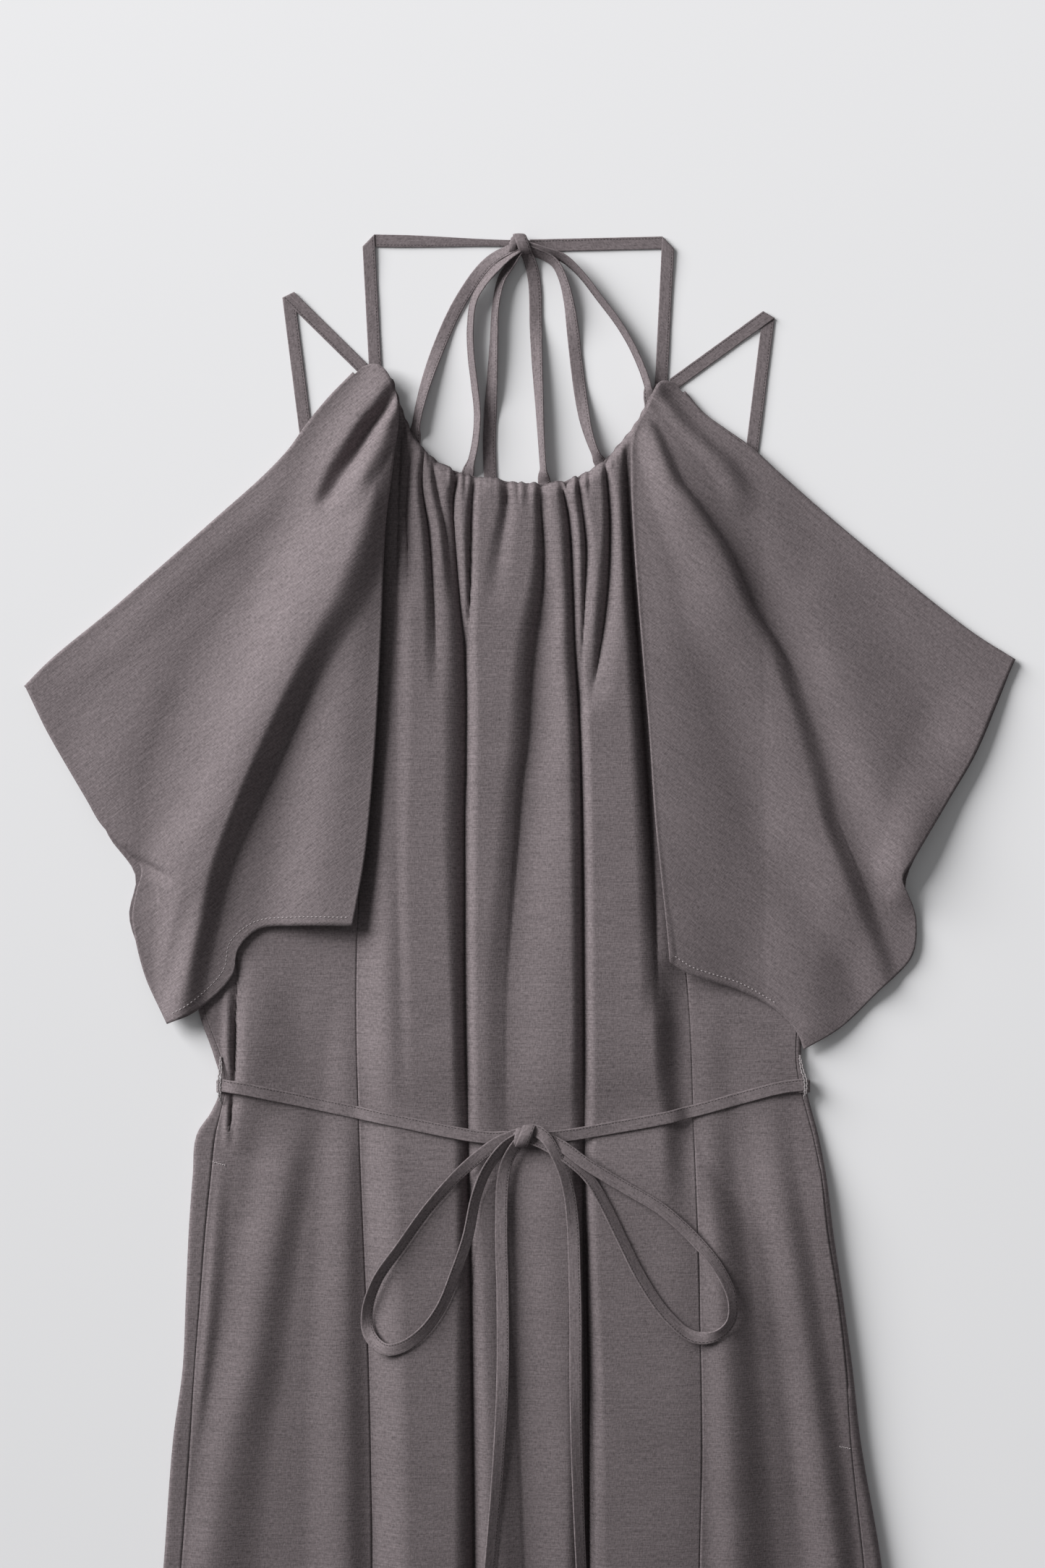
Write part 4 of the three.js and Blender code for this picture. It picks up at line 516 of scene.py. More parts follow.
def distance_to(points, x, y):
    """Distance from arrays of places to a line of points, with the side and the share along it."""
    best = np.full(np.shape(x), 1e9)
    along = np.zeros(np.shape(x))
    side = np.ones(np.shape(x))
    count = len(points) - 1
    for i in range(count):
        (ax, ay), (bx, by) = points[i][:2], points[i + 1][:2]
        dx, dy = bx - ax, by - ay
        share = np.clip(((x - ax) * dx + (y - ay) * dy) / (dx * dx + dy * dy), 0, 1)
        far = np.hypot(x - ax - share * dx, y - ay - share * dy)
        turn = dx * (y - ay) - dy * (x - ax)
        nearer = far < best
        best = np.where(nearer, far, best)
        along = np.where(nearer, (i + share) / count, along)
        side = np.where(nearer, np.where(turn >= 0, 1, -1), side)
    return best, side, along


def path_fold(rows, x, y):
    """Height of a fold that may slant: it rolls over sharply to the right where its reach is short."""
    dense = spline(rows, 12)
    far, side, along = distance_to(dense, x, y)
    places = np.linspace(0, 1, len(rows))
    table = np.array(rows, float)
    height = smooth_values(places, table[:, 2], along)
    reach = np.where(side > 0, np.interp(along, places, table[:, 4]), np.interp(along, places, table[:, 3]))
    off = np.clip(far / reach, 0, 1)
    rolled = np.sqrt(1 - off**2)
    crisp = np.clip((14 - reach) / 5, 0, 1) * np.clip((height - 5) / 2.5, 0, 1) * (side > 0)
    return height * (np.cos(off * math.pi / 2) ** 2 * (1 - crisp) + rolled * crisp)


# Meshes

def link_mesh(name, mesh, replaces=()):
    """An object at the origin that rides on the dress and stands for its solids."""
    piece = bpy.data.objects.new(name, mesh)
    bpy.context.scene.collection.objects.link(piece)
    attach(piece, "root")
    if replaces:
        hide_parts(*replaces)
    for face in mesh.polygons:
        face.use_smooth = True
    return piece


def cloth_mesh(name, grid, flat=None):
    """A sheet over a grid of points in millimetres, with its flat pattern as its UV map, in metres."""
    rows, columns = grid.shape[:2]
    bm = bmesh.new()
    bmesh.ops.create_grid(bm, x_segments=columns - 1, y_segments=rows - 1, size=1)
    pattern = bm.loops.layers.uv.new("Pattern")
    flat = grid[:, :, :2] if flat is None else flat
    places = {}
    for vert in bm.verts:
        i = round((vert.co.y + 1) / 2 * (rows - 1))
        j = round((vert.co.x + 1) / 2 * (columns - 1))
        places[vert] = (i, j)
        vert.co = Vector(grid[i, j]) * TO_METRES
    for face in bm.faces:
        for loop in face.loops:
            u, v = flat[places[loop.vert]]
            loop[pattern].uv = (u * TO_METRES, v * TO_METRES)
    mesh = bpy.data.meshes.new(name)
    bm.to_mesh(mesh)
    bm.free()
    return mesh


def add_thickness(piece, thickness):
    wall = piece.modifiers.new("Wall", "SOLIDIFY")
    wall.thickness = thickness
    wall.offset = 0
    wall.use_even_offset = False
    return piece


def swept_mesh(name, rings, along, across):
    """A closed surface through rings of points in metres, made by extruding the first ring."""
    bm = bmesh.new()
    layer_along = bm.verts.layers.float.new("along")
    layer_across = bm.verts.layers.float.new("across")
    ring = [bm.verts.new(p) for p in rings[0]]
    edges = [bm.edges.new((ring[i], ring[(i + 1) % len(ring)])) for i in range(len(ring))]
    first = list(ring)
    for vert, place in zip(ring, across):
        vert[layer_along] = float(along[0])
        vert[layer_across] = float(place)
    for points, length in zip(rings[1:], along[1:]):
        made = bmesh.ops.extrude_edge_only(bm, edges=edges)["geom"]
        pairs = {}
        for edge in edges:
            for face in edge.link_faces:
                if face in made:
                    verts = list(face.verts)
                    for vert in edge.verts:
                        i = verts.index(vert)
                        for other in (verts[i - 1], verts[(i + 1) % len(verts)]):
                            if other not in edge.verts:
                                pairs[vert] = other
        ring = [pairs[vert] for vert in ring]
        for vert, p, place in zip(ring, points, across):
            vert.co = p
            vert[layer_along] = float(length)
            vert[layer_across] = float(place)
        edges = [bm.edges.get((ring[i], ring[(i + 1) % len(ring)])) for i in range(len(ring))]
    bm.faces.new(first)
    bm.faces.new(ring)
    bmesh.ops.recalc_face_normals(bm, faces=bm.faces)
    mesh = bpy.data.meshes.new(name)
    bm.to_mesh(mesh)
    bm.free()
    return mesh


def strap_profile(width, thickness):
    """Points round a flat strap with rounded edges, as shares across and up."""
    half, lift = width / 2, thickness / 2
    flat = half - lift
    side = [(flat + lift * math.cos(a), lift * math.sin(a)) for a in np.radians((-90, -45, 0, 45, 90))]
    top = [(flat * share, lift) for share in (0.9, 0.45, 0, -0.45, -0.9)]
    other = [(-x, z) for x, z in reversed(side)]
    under = [(-x, -z) for x, z in top]
    return side + top + other + under


def strap_rings(points, angles, width, thickness):
    """Rings of a strap along points in metres, turned about its line by an angle at each."""
    profile = strap_profile(width, thickness)
    rings = []
    for i, point in enumerate(points):
        ahead = points[min(i + 1, len(points) - 1)] - points[max(i - 1, 0)]
        ahead = ahead / np.linalg.norm(ahead)
        level = np.array((-ahead[1], ahead[0], 0.0))
        level = level / np.linalg.norm(level)
        up = np.cross(ahead, level)
        across = level * math.cos(angles[i]) + up * math.sin(angles[i])
        lift = up * math.cos(angles[i]) - level * math.sin(angles[i])
        rings.append([point + across * a + lift * b for a, b in profile])
    return rings


def tie_path(rows, on_front, settings):
    """Middle line of a tie in metres, with its turn and length at each step."""
    table = np.array(rows, float)
    dense = spline(table[:, :2], 30)
    places = np.linspace(0, 1, len(rows))
    share = np.linspace(0, 1, settings.steps)
    line = along_line(dense, share)
    lengths = np.concatenate(([0], np.cumsum(np.linalg.norm(np.diff(dense, axis=0), axis=1))))
    knots = lengths[np.minimum(np.arange(len(rows)) * 30, len(dense) - 1)] / lengths[-1]
    width = np.interp(share, knots, table[:, 2])
    level = np.interp(share, knots, table[:, 3])
    full = settings.width / TO_METRES
    turn = np.arccos(np.clip(width / full, 0.34, 1))
    heading = np.gradient(line, axis=0)
    facing = -0.7 if on_front else 1
    turn = facing * turn * np.tanh(-3 * heading[:, 1] / np.linalg.norm(heading, axis=1))
    turn = np.convolve(np.pad(turn, 4, mode="edge"), np.ones(9) / 9, mode="valid")
    thickness = settings.thickness / TO_METRES
    if on_front:
        under = front_envelope(line[:, 0], line[:, 1], 3.5) + CLOTH * 0.6
        window = 2
        padded = np.pad(under, window, mode="edge")
        under = np.array([padded[i:i + 2 * window + 1].max() for i in range(len(under))])
        under = np.convolve(np.pad(under, window, mode="edge"), np.ones(2 * window + 1) / (2 * window + 1), mode="valid")
        height = under + level * STRAP_THICKNESS
    else:
        covered = smooth_step(neckline_height(line[:, 0]) + 10 - line[:, 1], 0, 9)
        turn = turn * (1 - covered)
        height = level * 1.6
    height = height + thickness * 0.62 + np.abs(np.sin(turn)) * full / 2
    points = np.column_stack([line, height]) * TO_METRES
    return points, turn, share * line_length(dense) * TO_METRES


# Materials

def new_material(name):
    material = bpy.data.materials.new(name)
    material.use_nodes = True
    nodes, links = material.node_tree.nodes, material.node_tree.links
    shader = nodes["Principled BSDF"]
    return material, nodes, links, shader


def melange_group():
    """Fibre colour and relief of a plain woven melange cloth, from a flat place in metres."""
    group = bpy.data.node_groups.get("Melange Weave")
    if group:
        return group
    group = bpy.data.node_groups.new("Melange Weave", "ShaderNodeTree")
    group.interface.new_socket("Place", in_out="INPUT", socket_type="NodeSocketVector")
    group.interface.new_socket("Dark", in_out="INPUT", socket_type="NodeSocketColor")
    group.interface.new_socket("Light", in_out="INPUT", socket_type="NodeSocketColor")
    group.interface.new_socket("Color", in_out="OUTPUT", socket_type="NodeSocketColor")
    group.interface.new_socket("Relief", in_out="OUTPUT", socket_type="NodeSocketFloat")
    nodes, links = group.nodes, group.links
    source = nodes.new("NodeGroupInput")
    out = nodes.new("NodeGroupOutput")

    def streaks(scale, stretch, detail):
        mapping = nodes.new("ShaderNodeMapping")
        mapping.inputs["Scale"].default_value = stretch
        links.new(source.outputs["Place"], mapping.inputs["Vector"])
        noise = nodes.new("ShaderNodeTexNoise")
        noise.inputs["Scale"].default_value = scale
        noise.inputs["Detail"].default_value = detail
        noise.inputs["Roughness"].default_value = 0.62
        links.new(mapping.outputs["Vector"], noise.inputs["Vector"])
        return noise.outputs["Fac"]

    def combine(operation, first, second):
        node = nodes.new("ShaderNodeMath")
        node.operation = operation
        for socket, value in zip(node.inputs, (first, second)):
            if isinstance(value, (int, float)):
                socket.default_value = value
            else:
                links.new(value, socket)
        return node.outputs["Value"]

    weft = streaks(1150, (0.3, 1, 1), 2.0)
    warp = streaks(1150, (1, 0.34, 1), 2.0)
    slub = streaks(800, (0.06, 1, 1), 2.0)
    cloud = streaks(30, (0.5, 1, 1), 2.0)
    fine = combine("ADD", combine("MULTIPLY", weft, 0.5), combine("MULTIPLY", warp, 0.5))
    coarse = combine("ADD", combine("MULTIPLY", slub, 0.3), combine("MULTIPLY", cloud, 0.1))
    mix = combine("ADD", fine, coarse)
    spread = nodes.new("ShaderNodeMapRange")
    spread.inputs["From Min"].default_value = 0.52
    spread.inputs["From Max"].default_value = 0.88
    links.new(mix, spread.inputs["Value"])
    colour = nodes.new("ShaderNodeMix")
    colour.data_type = "RGBA"
    links.new(spread.outputs["Result"], colour.inputs["Factor"])
    links.new(source.outputs["Dark"], colour.inputs[6])
    links.new(source.outputs["Light"], colour.inputs[7])
    links.new(colour.outputs[2], out.inputs["Color"])
    links.new(combine("ADD", weft, combine("ADD", warp, slub)), out.inputs["Relief"])
    return group


def cloth_material(name, turn=0.0, shade=1.0):
    """Matte melange suiting, its weft turned by an angle on the pattern, with painted shade that darkens it towards the
    hem, where the light falls off.
    """
    existing = bpy.data.materials.get(name)
    if existing:
        return existing
    settings = bpy.context.scene.dress_cloth
    material, nodes, links, shader = new_material(name)
    place = nodes.new("ShaderNodeUVMap")
    place.uv_map = "Pattern"
    turned = nodes.new("ShaderNodeMapping")
    turned.inputs["Rotation"].default_value = (0, 0, turn)
    links.new(place.outputs["UV"], turned.inputs["Vector"])
    weave = nodes.new("ShaderNodeGroup")
    weave.node_tree = melange_group()
    links.new(turned.outputs["Vector"], weave.inputs["Place"])
    low = nodes.new("ShaderNodeTexCoord")
    parts = nodes.new("ShaderNodeSeparateXYZ")
    links.new(low.outputs["Object"], parts.inputs["Vector"])
    # Painted shade: the cloth's colours darken towards the hem, standing in for the light's falloff
    fall = nodes.new("ShaderNodeMapRange")
    fall.inputs["From Min"].default_value = -0.15
    fall.inputs["From Max"].default_value = 0.12
    links.new(parts.outputs["Y"], fall.inputs["Value"])
    for name_of, colour in (("Dark", settings.dark), ("Light", settings.light)):
        painted_shade_tint = nodes.new("ShaderNodeMix")
        painted_shade_tint.data_type = "RGBA"
        painted_shade_tint.inputs[6].default_value = (*(c * shade * LOWER_PAINTED_SHADE for c in colour), 1)
        painted_shade_tint.inputs[7].default_value = (*(c * shade for c in colour), 1)
        links.new(fall.outputs["Result"], painted_shade_tint.inputs["Factor"])
        links.new(painted_shade_tint.outputs[2], weave.inputs[name_of])
    bump = nodes.new("ShaderNodeBump")
    bump.inputs["Strength"].default_value = 0.35
    bump.inputs["Distance"].default_value = 0.0004
    links.new(weave.outputs["Relief"], bump.inputs["Height"])
    links.new(weave.outputs["Color"], shader.inputs["Base Color"])
    links.new(bump.outputs["Normal"], shader.inputs["Normal"])
    shader.inputs["Roughness"].default_value = 0.88
    shader.inputs["Specular IOR Level"].default_value = 0.12
    return material


def strap_material():
    """The suiting on a strap, with a row of stitches near one edge."""
    existing = bpy.data.materials.get("Strap Suiting")
    if existing:
        return existing
    settings = bpy.context.scene.dress_cloth
    ties = bpy.context.scene.dress_ties
    material, nodes, links, shader = new_material("Strap Suiting")
    along = nodes.new("ShaderNodeAttribute")
    along.attribute_name = "along"
    across = nodes.new("ShaderNodeAttribute")
    across.attribute_name = "across"
    place = nodes.new("ShaderNodeCombineXYZ")
    links.new(along.outputs["Fac"], place.inputs["X"])
    links.new(across.outputs["Fac"], place.inputs["Y"])
    weave = nodes.new("ShaderNodeGroup")
    weave.node_tree = melange_group()
    weave.inputs["Dark"].default_value = (*(c * 1.02 for c in settings.dark), 1)
    weave.inputs["Light"].default_value = (*(c * 1.02 for c in settings.light), 1)
    links.new(place.outputs["Vector"], weave.inputs["Place"])

    def calc(operation, first, second=0.0):
        node = nodes.new("ShaderNodeMath")
        node.operation = operation
        for socket, value in zip(node.inputs, (first, second)):
            if isinstance(value, (int, float)):
                socket.default_value = value
            else:
                links.new(value, socket)
        return node.outputs["Value"]

    phase = calc("FRACT", calc("DIVIDE", along.outputs["Fac"], ties.stitch_pitch))
    dash = calc("LESS_THAN", phase, 0.62)
    row = calc("LESS_THAN", calc("ABSOLUTE", calc("SUBTRACT", across.outputs["Fac"], 0.0027)), 0.00022)
    stitch = calc("MULTIPLY", dash, row)
    groove = calc("LESS_THAN", calc("ABSOLUTE", calc("SUBTRACT", across.outputs["Fac"], 0.0027)), 0.0005)
    colour = nodes.new("ShaderNodeMix")
    colour.data_type = "RGBA"
    links.new(stitch, colour.inputs["Factor"])
    links.new(weave.outputs["Color"], colour.inputs[6])
    colour.inputs[7].default_value = (*(c * 0.42 for c in settings.dark), 1)
    links.new(colour.outputs[2], shader.inputs["Base Color"])
    relief = calc("SUBTRACT", calc("MULTIPLY", weave.outputs["Relief"], 0.5), calc("MULTIPLY", groove, 0.9))
    bump = nodes.new("ShaderNodeBump")
    bump.inputs["Strength"].default_value = 0.4
    bump.inputs["Distance"].default_value = 0.0004
    links.new(relief, bump.inputs["Height"])
    links.new(bump.outputs["Normal"], shader.inputs["Normal"])
    shader.inputs["Roughness"].default_value = 0.86
    shader.inputs["Specular IOR Level"].default_value = 0.12
    return material


def thread_material(name, shade):
    existing = bpy.data.materials.get(name)
    if existing:
        return existing
    settings = bpy.context.scene.dress_cloth
    material, nodes, links, shader = new_material(name)
    place = nodes.new("ShaderNodeTexCoord")
    noise = nodes.new("ShaderNodeTexNoise")
    noise.inputs["Scale"].default_value = 2600
    noise.inputs["Detail"].default_value = 2
    links.new(place.outputs["Object"], noise.inputs["Vector"])
    ramp = nodes.new("ShaderNodeMix")
    ramp.data_type = "RGBA"
    ramp.inputs[6].default_value = (*(c * shade * 0.8 for c in settings.thread), 1)
    ramp.inputs[7].default_value = (*(c * shade * 1.2 for c in settings.thread), 1)
    links.new(noise.outputs["Fac"], ramp.inputs["Factor"])
    links.new(ramp.outputs[2], shader.inputs["Base Color"])
    bump = nodes.new("ShaderNodeBump")
    bump.inputs["Strength"].default_value = 0.4
    bump.inputs["Distance"].default_value = 0.0002
    links.new(noise.outputs["Fac"], bump.inputs["Height"])
    links.new(bump.outputs["Normal"], shader.inputs["Normal"])
    shader.inputs["Roughness"].default_value = 0.8
    return material


def surface_material():
    """Pale matte surface, painted a little paler to the right: painted light that makes up for the weaker light there.
    """
    settings = bpy.context.scene.dress_studio
    material, nodes, links, shader = new_material("Pale Surface")
    place = nodes.new("ShaderNodeTexCoord")
    parts = nodes.new("ShaderNodeSeparateXYZ")
    links.new(place.outputs["Object"], parts.inputs["Vector"])
    # Painted light: the surface's colour rises from left to right, where the key light is weaker
    spread = nodes.new("ShaderNodeMapRange")
    spread.inputs["From Min"].default_value = -0.34
    spread.inputs["From Max"].default_value = 0.34
    links.new(parts.outputs["X"], spread.inputs["Value"])
    mix = nodes.new("ShaderNodeMix")
    mix.data_type = "RGBA"
    mix.inputs[6].default_value = (*(c * 0.94 for c in settings.surface), 1)
    mix.inputs[7].default_value = (*(min(c * 1.09, 1) for c in settings.surface), 1)
    links.new(spread.outputs["Result"], mix.inputs["Factor"])
    links.new(mix.outputs[2], shader.inputs["Base Color"])
    shader.inputs["Roughness"].default_value = 0.95
    shader.inputs["Specular IOR Level"].default_value = 0.1
    return material


# Pieces

class DRESS_OT_studio(bpy.types.Operator):
    """Camera straight above, soft light from the upper left and a pale surface"""
    bl_idname = "dress.studio"
    bl_label = "Studio"

    def execute(self, context):
        settings = context.scene.dress_studio
        data = bpy.data.cameras.new("Camera")
        data.lens = settings.lens
        data.sensor_width = 36
        camera = bpy.data.objects.new("Camera", data)
        camera.location = (0.00175, 0.2904, settings.camera_height)
        context.scene.collection.objects.link(camera)
        context.scene.camera = camera
        bm = bmesh.new()
        bmesh.ops.create_grid(bm, x_segments=2, y_segments=2, size=4)
        mesh = bpy.data.meshes.new("Surface")
        bm.to_mesh(mesh)
        bm.free()
        surface = bpy.data.objects.new("Surface", mesh)
        context.scene.collection.objects.link(surface)
        surface.location = (0, 0, -0.0004)
        mesh.materials.append(surface_material())
        self.add_light(context, "Key", (-4.57, 3.11, 2.63), settings.key_power, 3.9)
        world = bpy.data.worlds.new("Studio")
        world.use_nodes = True
        background = world.node_tree.nodes["Background"]
        background.inputs["Color"].default_value = (1.0, 1.0, 1.0, 1)
        background.inputs["Strength"].default_value = 0.18
        context.scene.world = world
        context.scene.view_settings.view_transform = "Standard"
        return {"FINISHED"}

    @staticmethod
    def add_light(context, name, place, power, size):
        data = bpy.data.lights.new(name, "AREA")
        data.energy = power
        data.size = size
        data.color = (1.0, 1.0, 1.0)
        light = bpy.data.objects.new(name, data)
        light.location = place
        aim = Vector((0, 0.25, 0)) - light.location
        light.rotation_euler = aim.to_track_quat("-Z", "Y").to_euler()
        context.scene.collection.objects.link(light)


def add_tie(name, rows, on_front):
    settings = bpy.context.scene.dress_ties
    points, turn, lengths = tie_path(rows, on_front, settings)
    rings = strap_rings(points, turn, settings.width, settings.thickness)
    across = [a for a, _ in strap_profile(settings.width, settings.thickness)]
    mesh = swept_mesh(name, rings, lengths, across)
    piece = link_mesh(name + "_cloth", mesh, (name,))
    mesh.materials.append(strap_material())
    return piece


class DRESS_OT_neck_ties(bpy.types.Operator):
    """The bow's loops and tails at the neck"""
    bl_idname = "dress.neck_ties"
    bl_label = "Neck ties"

    def execute(self, context):
        for name, rows in NECK_TIES.items():
            add_tie(name, rows, False)
        return {"FINISHED"}


class DRESS_OT_belt_ties(bpy.types.Operator):
    """The belt's bow, and the belt itself across the front"""
    bl_idname = "dress.belt_ties"
    bl_label = "Belt ties"

    def execute(self, context):
        for name, rows in BELT_TIES.items():
            add_tie(name, rows, True)
        for name, rows in BELT_FRONTS.items():
            add_tie(name, rows, True)
        return {"FINISHED"}


class DRESS_OT_belt_back(bpy.types.Operator):
    """The belt below the back, turned up round both sides"""
    bl_idname = "dress.belt_back"
    bl_label = "Belt at the back"

    def execute(self, context):
        settings = context.scene.dress_ties
        half = STRAP_THICKNESS / 2
        near = np.array((-5, 0, 5)) + BELT_HEIGHT
        left = columns_at(SIDE_SECTIONS, near, "left_edge").min() - SEAM_GAP - half
        right = columns_at(SIDE_SECTIONS, near, "right_edge").max() + SEAM_GAP + half
        top = FRONT_LEVEL + CLOTH * 0.75 + SEAM_GAP + half
        bend = 1.4
        side = [(0, top - bend), (0, half + bend), (bend, half)]
        path = [(BELT_BACK_ENDS[0], top), (left + bend, top), *((left + x, z) for x, z in side)]
        path += [(x, half) for x in np.linspace(left, right, 30)[1:-1]]
        path += [*((right - x, z) for x, z in reversed(side)), (right - bend, top), (BELT_BACK_ENDS[1], top)]
        points = np.array([(x, BELT_HEIGHT, z) for x, z in path]) * TO_METRES
        rings = []
        profile = strap_profile(settings.width, settings.thickness)
        for i, point in enumerate(points):
            ahead = points[min(i + 1, len(points) - 1)] - points[max(i - 1, 0)]
            ahead = ahead / np.linalg.norm(ahead)
            normal = np.array((-ahead[2], 0, ahead[0]))
            rings.append([point + np.array((0, a, 0)) + normal * b for a, b in profile])
        lengths = np.concatenate(([0], np.cumsum(np.linalg.norm(np.diff(points, axis=0), axis=1))))
        mesh = swept_mesh("belt_back", rings, lengths, [a for a, _ in profile])
        mesh.materials.append(strap_material())
        link_mesh("belt_back_cloth", mesh, ("belt_back",))
        return {"FINISHED"}


def strap_edges(row, width):
    """Edge points of both legs of a strap folded at its corner: outside and inside lines."""
    p, c, q = (np.array(row[key], float) for key in ("start", "corner", "end"))
    first = (c - p) / np.linalg.norm(c - p)
    second = (q - c) / np.linalg.norm(q - c)
    fold = (first + second) / np.linalg.norm(first + second)
    half = width / 2
    cross = lambda a, b: a[0] * b[1] - a[1] * b[0]
    reach = half / abs(cross(fold, first))
    ends = (c - fold * reach, c + fold * reach)
    return p, c, q, first, second, ends


def leg_mesh(name, start, along, fold_ends, width, thickness, low, high, flip, taper=1.0):
    """One leg of a folded strap: square at its start, slanted along the fold at its end."""
    normal = np.array((-along[1], along[0]))
    half = width / 2
    a_end = fold_ends[0] if np.dot(fold_ends[0] - start, normal) > 0 else fold_ends[1]
    b_end = fold_ends[1] if a_end is fold_ends[0] else fold_ends[0]
    profile = strap_profile(width, thickness)
    rings, lengths = [], []
    count = 60
    for i in range(count + 1):
        share = i / count
        narrow = taper + (1 - taper) * float(smooth_step(share, 0.0, 0.85))
        middle = start * (1 - share)
        left = middle + normal * half * (1 - share) + a_end * share
        right = middle - normal * half * (1 - share) + b_end * share
        centre = (left + right) / 2
        left, right = centre + (left - centre) * narrow, centre + (right - centre) * narrow
        rise = low + (high - low) * smooth_step(share, 0.62, 1.0)
        wave = 0.12 * math.sin(share * 9.4 + start[0]) * share * (1 - share) * 4
        ring = []
        for a, b in profile:
            place = (a / half + 1) / 2
            xy = right * (1 - place) + left * place
            ring.append(Vector((xy[0], xy[1], rise + b + abs(wave))) * TO_METRES)
        rings.append(ring)
        lengths.append(share * float(np.linalg.norm((a_end + b_end) / 2 - start)) * TO_METRES)
    across = [a * TO_METRES * (-1 if flip else 1) for a, _ in profile]
    return swept_mesh(name, rings, lengths, across)


class DRESS_OT_straps(bpy.types.Operator):
    """Neck and shoulder straps, each folded flat at its corner"""
    bl_idname = "dress.straps"
    bl_label = "Straps"

    def execute(self, context):
        settings = context.scene.dress_ties
        width = settings.width / TO_METRES
        thickness = 0.8
        for name, row in FOLDED_STRAPS.items():
            p, c, q, first, second, ends = strap_edges(row, width)
            over = name.startswith("shoulder")
            lower = thickness / 2 + 0.05
            upper = lower + thickness + 0.06
            heights = ((lower, upper), (lower, lower)) if over else ((lower, lower), (lower, upper))
            upright = leg_mesh(name + "_leg", q, -second, ends, width, thickness, *heights[1], True)
            level = leg_mesh(name + "_run", p, first, ends, width, thickness, *heights[0], False, row.get("taper", 1))
            for mesh, part in ((upright, "_leg"), (level, "_run")):
                mesh.materials.append(strap_material())
                link_mesh(name + part, mesh, (name,))
        return {"FINISHED"}


def wrap_mesh(name, centre, half_size, lean, width, start):
    """A band of strap wound once round a knot, leaning over it."""
    profile = strap_profile(width, 1.5)
    count = 44
    rings, lengths = [], []
    hx, hy, hz = half_size
    for i in range(count + 1):
        angle = math.radians(start) + 2 * math.pi * i / count * 0.97
        point = np.array((0.0, math.cos(angle) * hy, math.sin(angle) * hz))
        normal = np.array((0.0, math.cos(angle) / hy, math.sin(angle) / hz))
        normal = normal / np.linalg.norm(normal)
        side = np.array((1.0, 0.0, 0.0))
        ring = []
        for a, b in profile:
            bulge = 0.55 * (1 - (2 * a / width) ** 2)
            local = point + side * a + normal * (b + bulge)
            tilt = lean * local[1] / hy
            ring.append(Vector((local[0] + tilt + centre[0], local[1] + centre[1], local[2] + centre[2])) * TO_METRES)
        rings.append(ring)
        lengths.append(i / count * 0.03)
    return swept_mesh(name, rings, lengths, [a * TO_METRES for a, _ in profile])


class DRESS_OT_knots(bpy.types.Operator):
    """The tied knots: a broad band and a smaller one, wound over a core"""
    bl_idname = "dress.knots"
    bl_label = "Knots"

    def execute(self, context):
        for name, knot in KNOTS.items():
            x, y = knot["place"]
            hx, hy, hz = knot["half_size"]
            low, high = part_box(name)
            z = max((low.z + high.z) / 2 / TO_METRES, hz + BAND_ROOM)
            bm = bmesh.new()
            bmesh.ops.create_uvsphere(bm, u_segments=32, v_segments=20, radius=1)
            for vert in bm.verts:
                ripple = 1 + 0.05 * math.sin(vert.co.x * 9 + vert.co.y * 5)
                vert.co = Vector((x + vert.co.x * hx * 0.8, y + vert.co.y * hy * 0.66 * ripple,
                                  z + vert.co.z * hz * 0.74 * ripple)) * TO_METRES
            pattern = bm.loops.layers.uv.new("Pattern")
            for face in bm.faces:
                for loop in face.loops:
                    loop[pattern].uv = (loop.vert.co.x, loop.vert.co.y)
            core = bpy.data.meshes.new(name + "_core")
            bm.to_mesh(core)
            bm.free()
            core.materials.append(cloth_material("Knot Suiting"))
            body = link_mesh(name + "_core", core, (name,))
            band = wrap_mesh(name + "_band", (x + knot["shift"], y, z), (hx, hy - 0.5, hz + 0.4), knot["lean"], 8.4, 250)
            side = wrap_mesh(name + "_side", (x - knot["shift"] * 2.6, y - 0.6, z), (hx, hy - 1.8, hz - 0.9), 0.8, 5, 262)
            for mesh in (band, side):
                mesh.materials.append(strap_material())
                link_mesh(mesh.name + "_wrap", mesh, (name,))
        return {"FINISHED"}


def centre_grid(columns, rows):
    """Points of the centre panel: its top edge is the neckline, its columns follow the creases."""
    lines = ("left_seam", "left_crease", "right_crease", "right_seam")
    insets = (SEAM / 2, 0, 0, -SEAM / 2)
    across = np.linspace(0, 3, 3 * columns + 1)
    span = np.minimum(across.astype(int), 2)
    share = across - span
    down = np.linspace(0, 1, rows)
    row_y = 482 - (482 - HEM) * (0.35 * down + 0.65 * down**1.6)
    x = np.tile(-80 + 162 * across / 3, (rows, 1))
    y = np.zeros_like(x)
    bend = smooth_step(row_y, 180, 482)[:, None]
    fall = np.clip((200 - row_y) / 841, 0, 1)[:, None]
    for _ in range(24):
        y = row_y[:, None] + (neckline_height(x) - 482) * bend + (hem_at(x) - HEM) * fall
        places = np.stack([columns_at(FRONT_SECTIONS, y, line) + inset for line, inset in zip(lines, insets)])
        start = np.take_along_axis(places, np.broadcast_to(span, x.shape)[None], 0)[0]
        end = np.take_along_axis(places, np.broadcast_to(span + 1, x.shape)[None], 0)[0]
        x = (x + start * (1 - share) + end * share) / 2
    return x, y, row_y


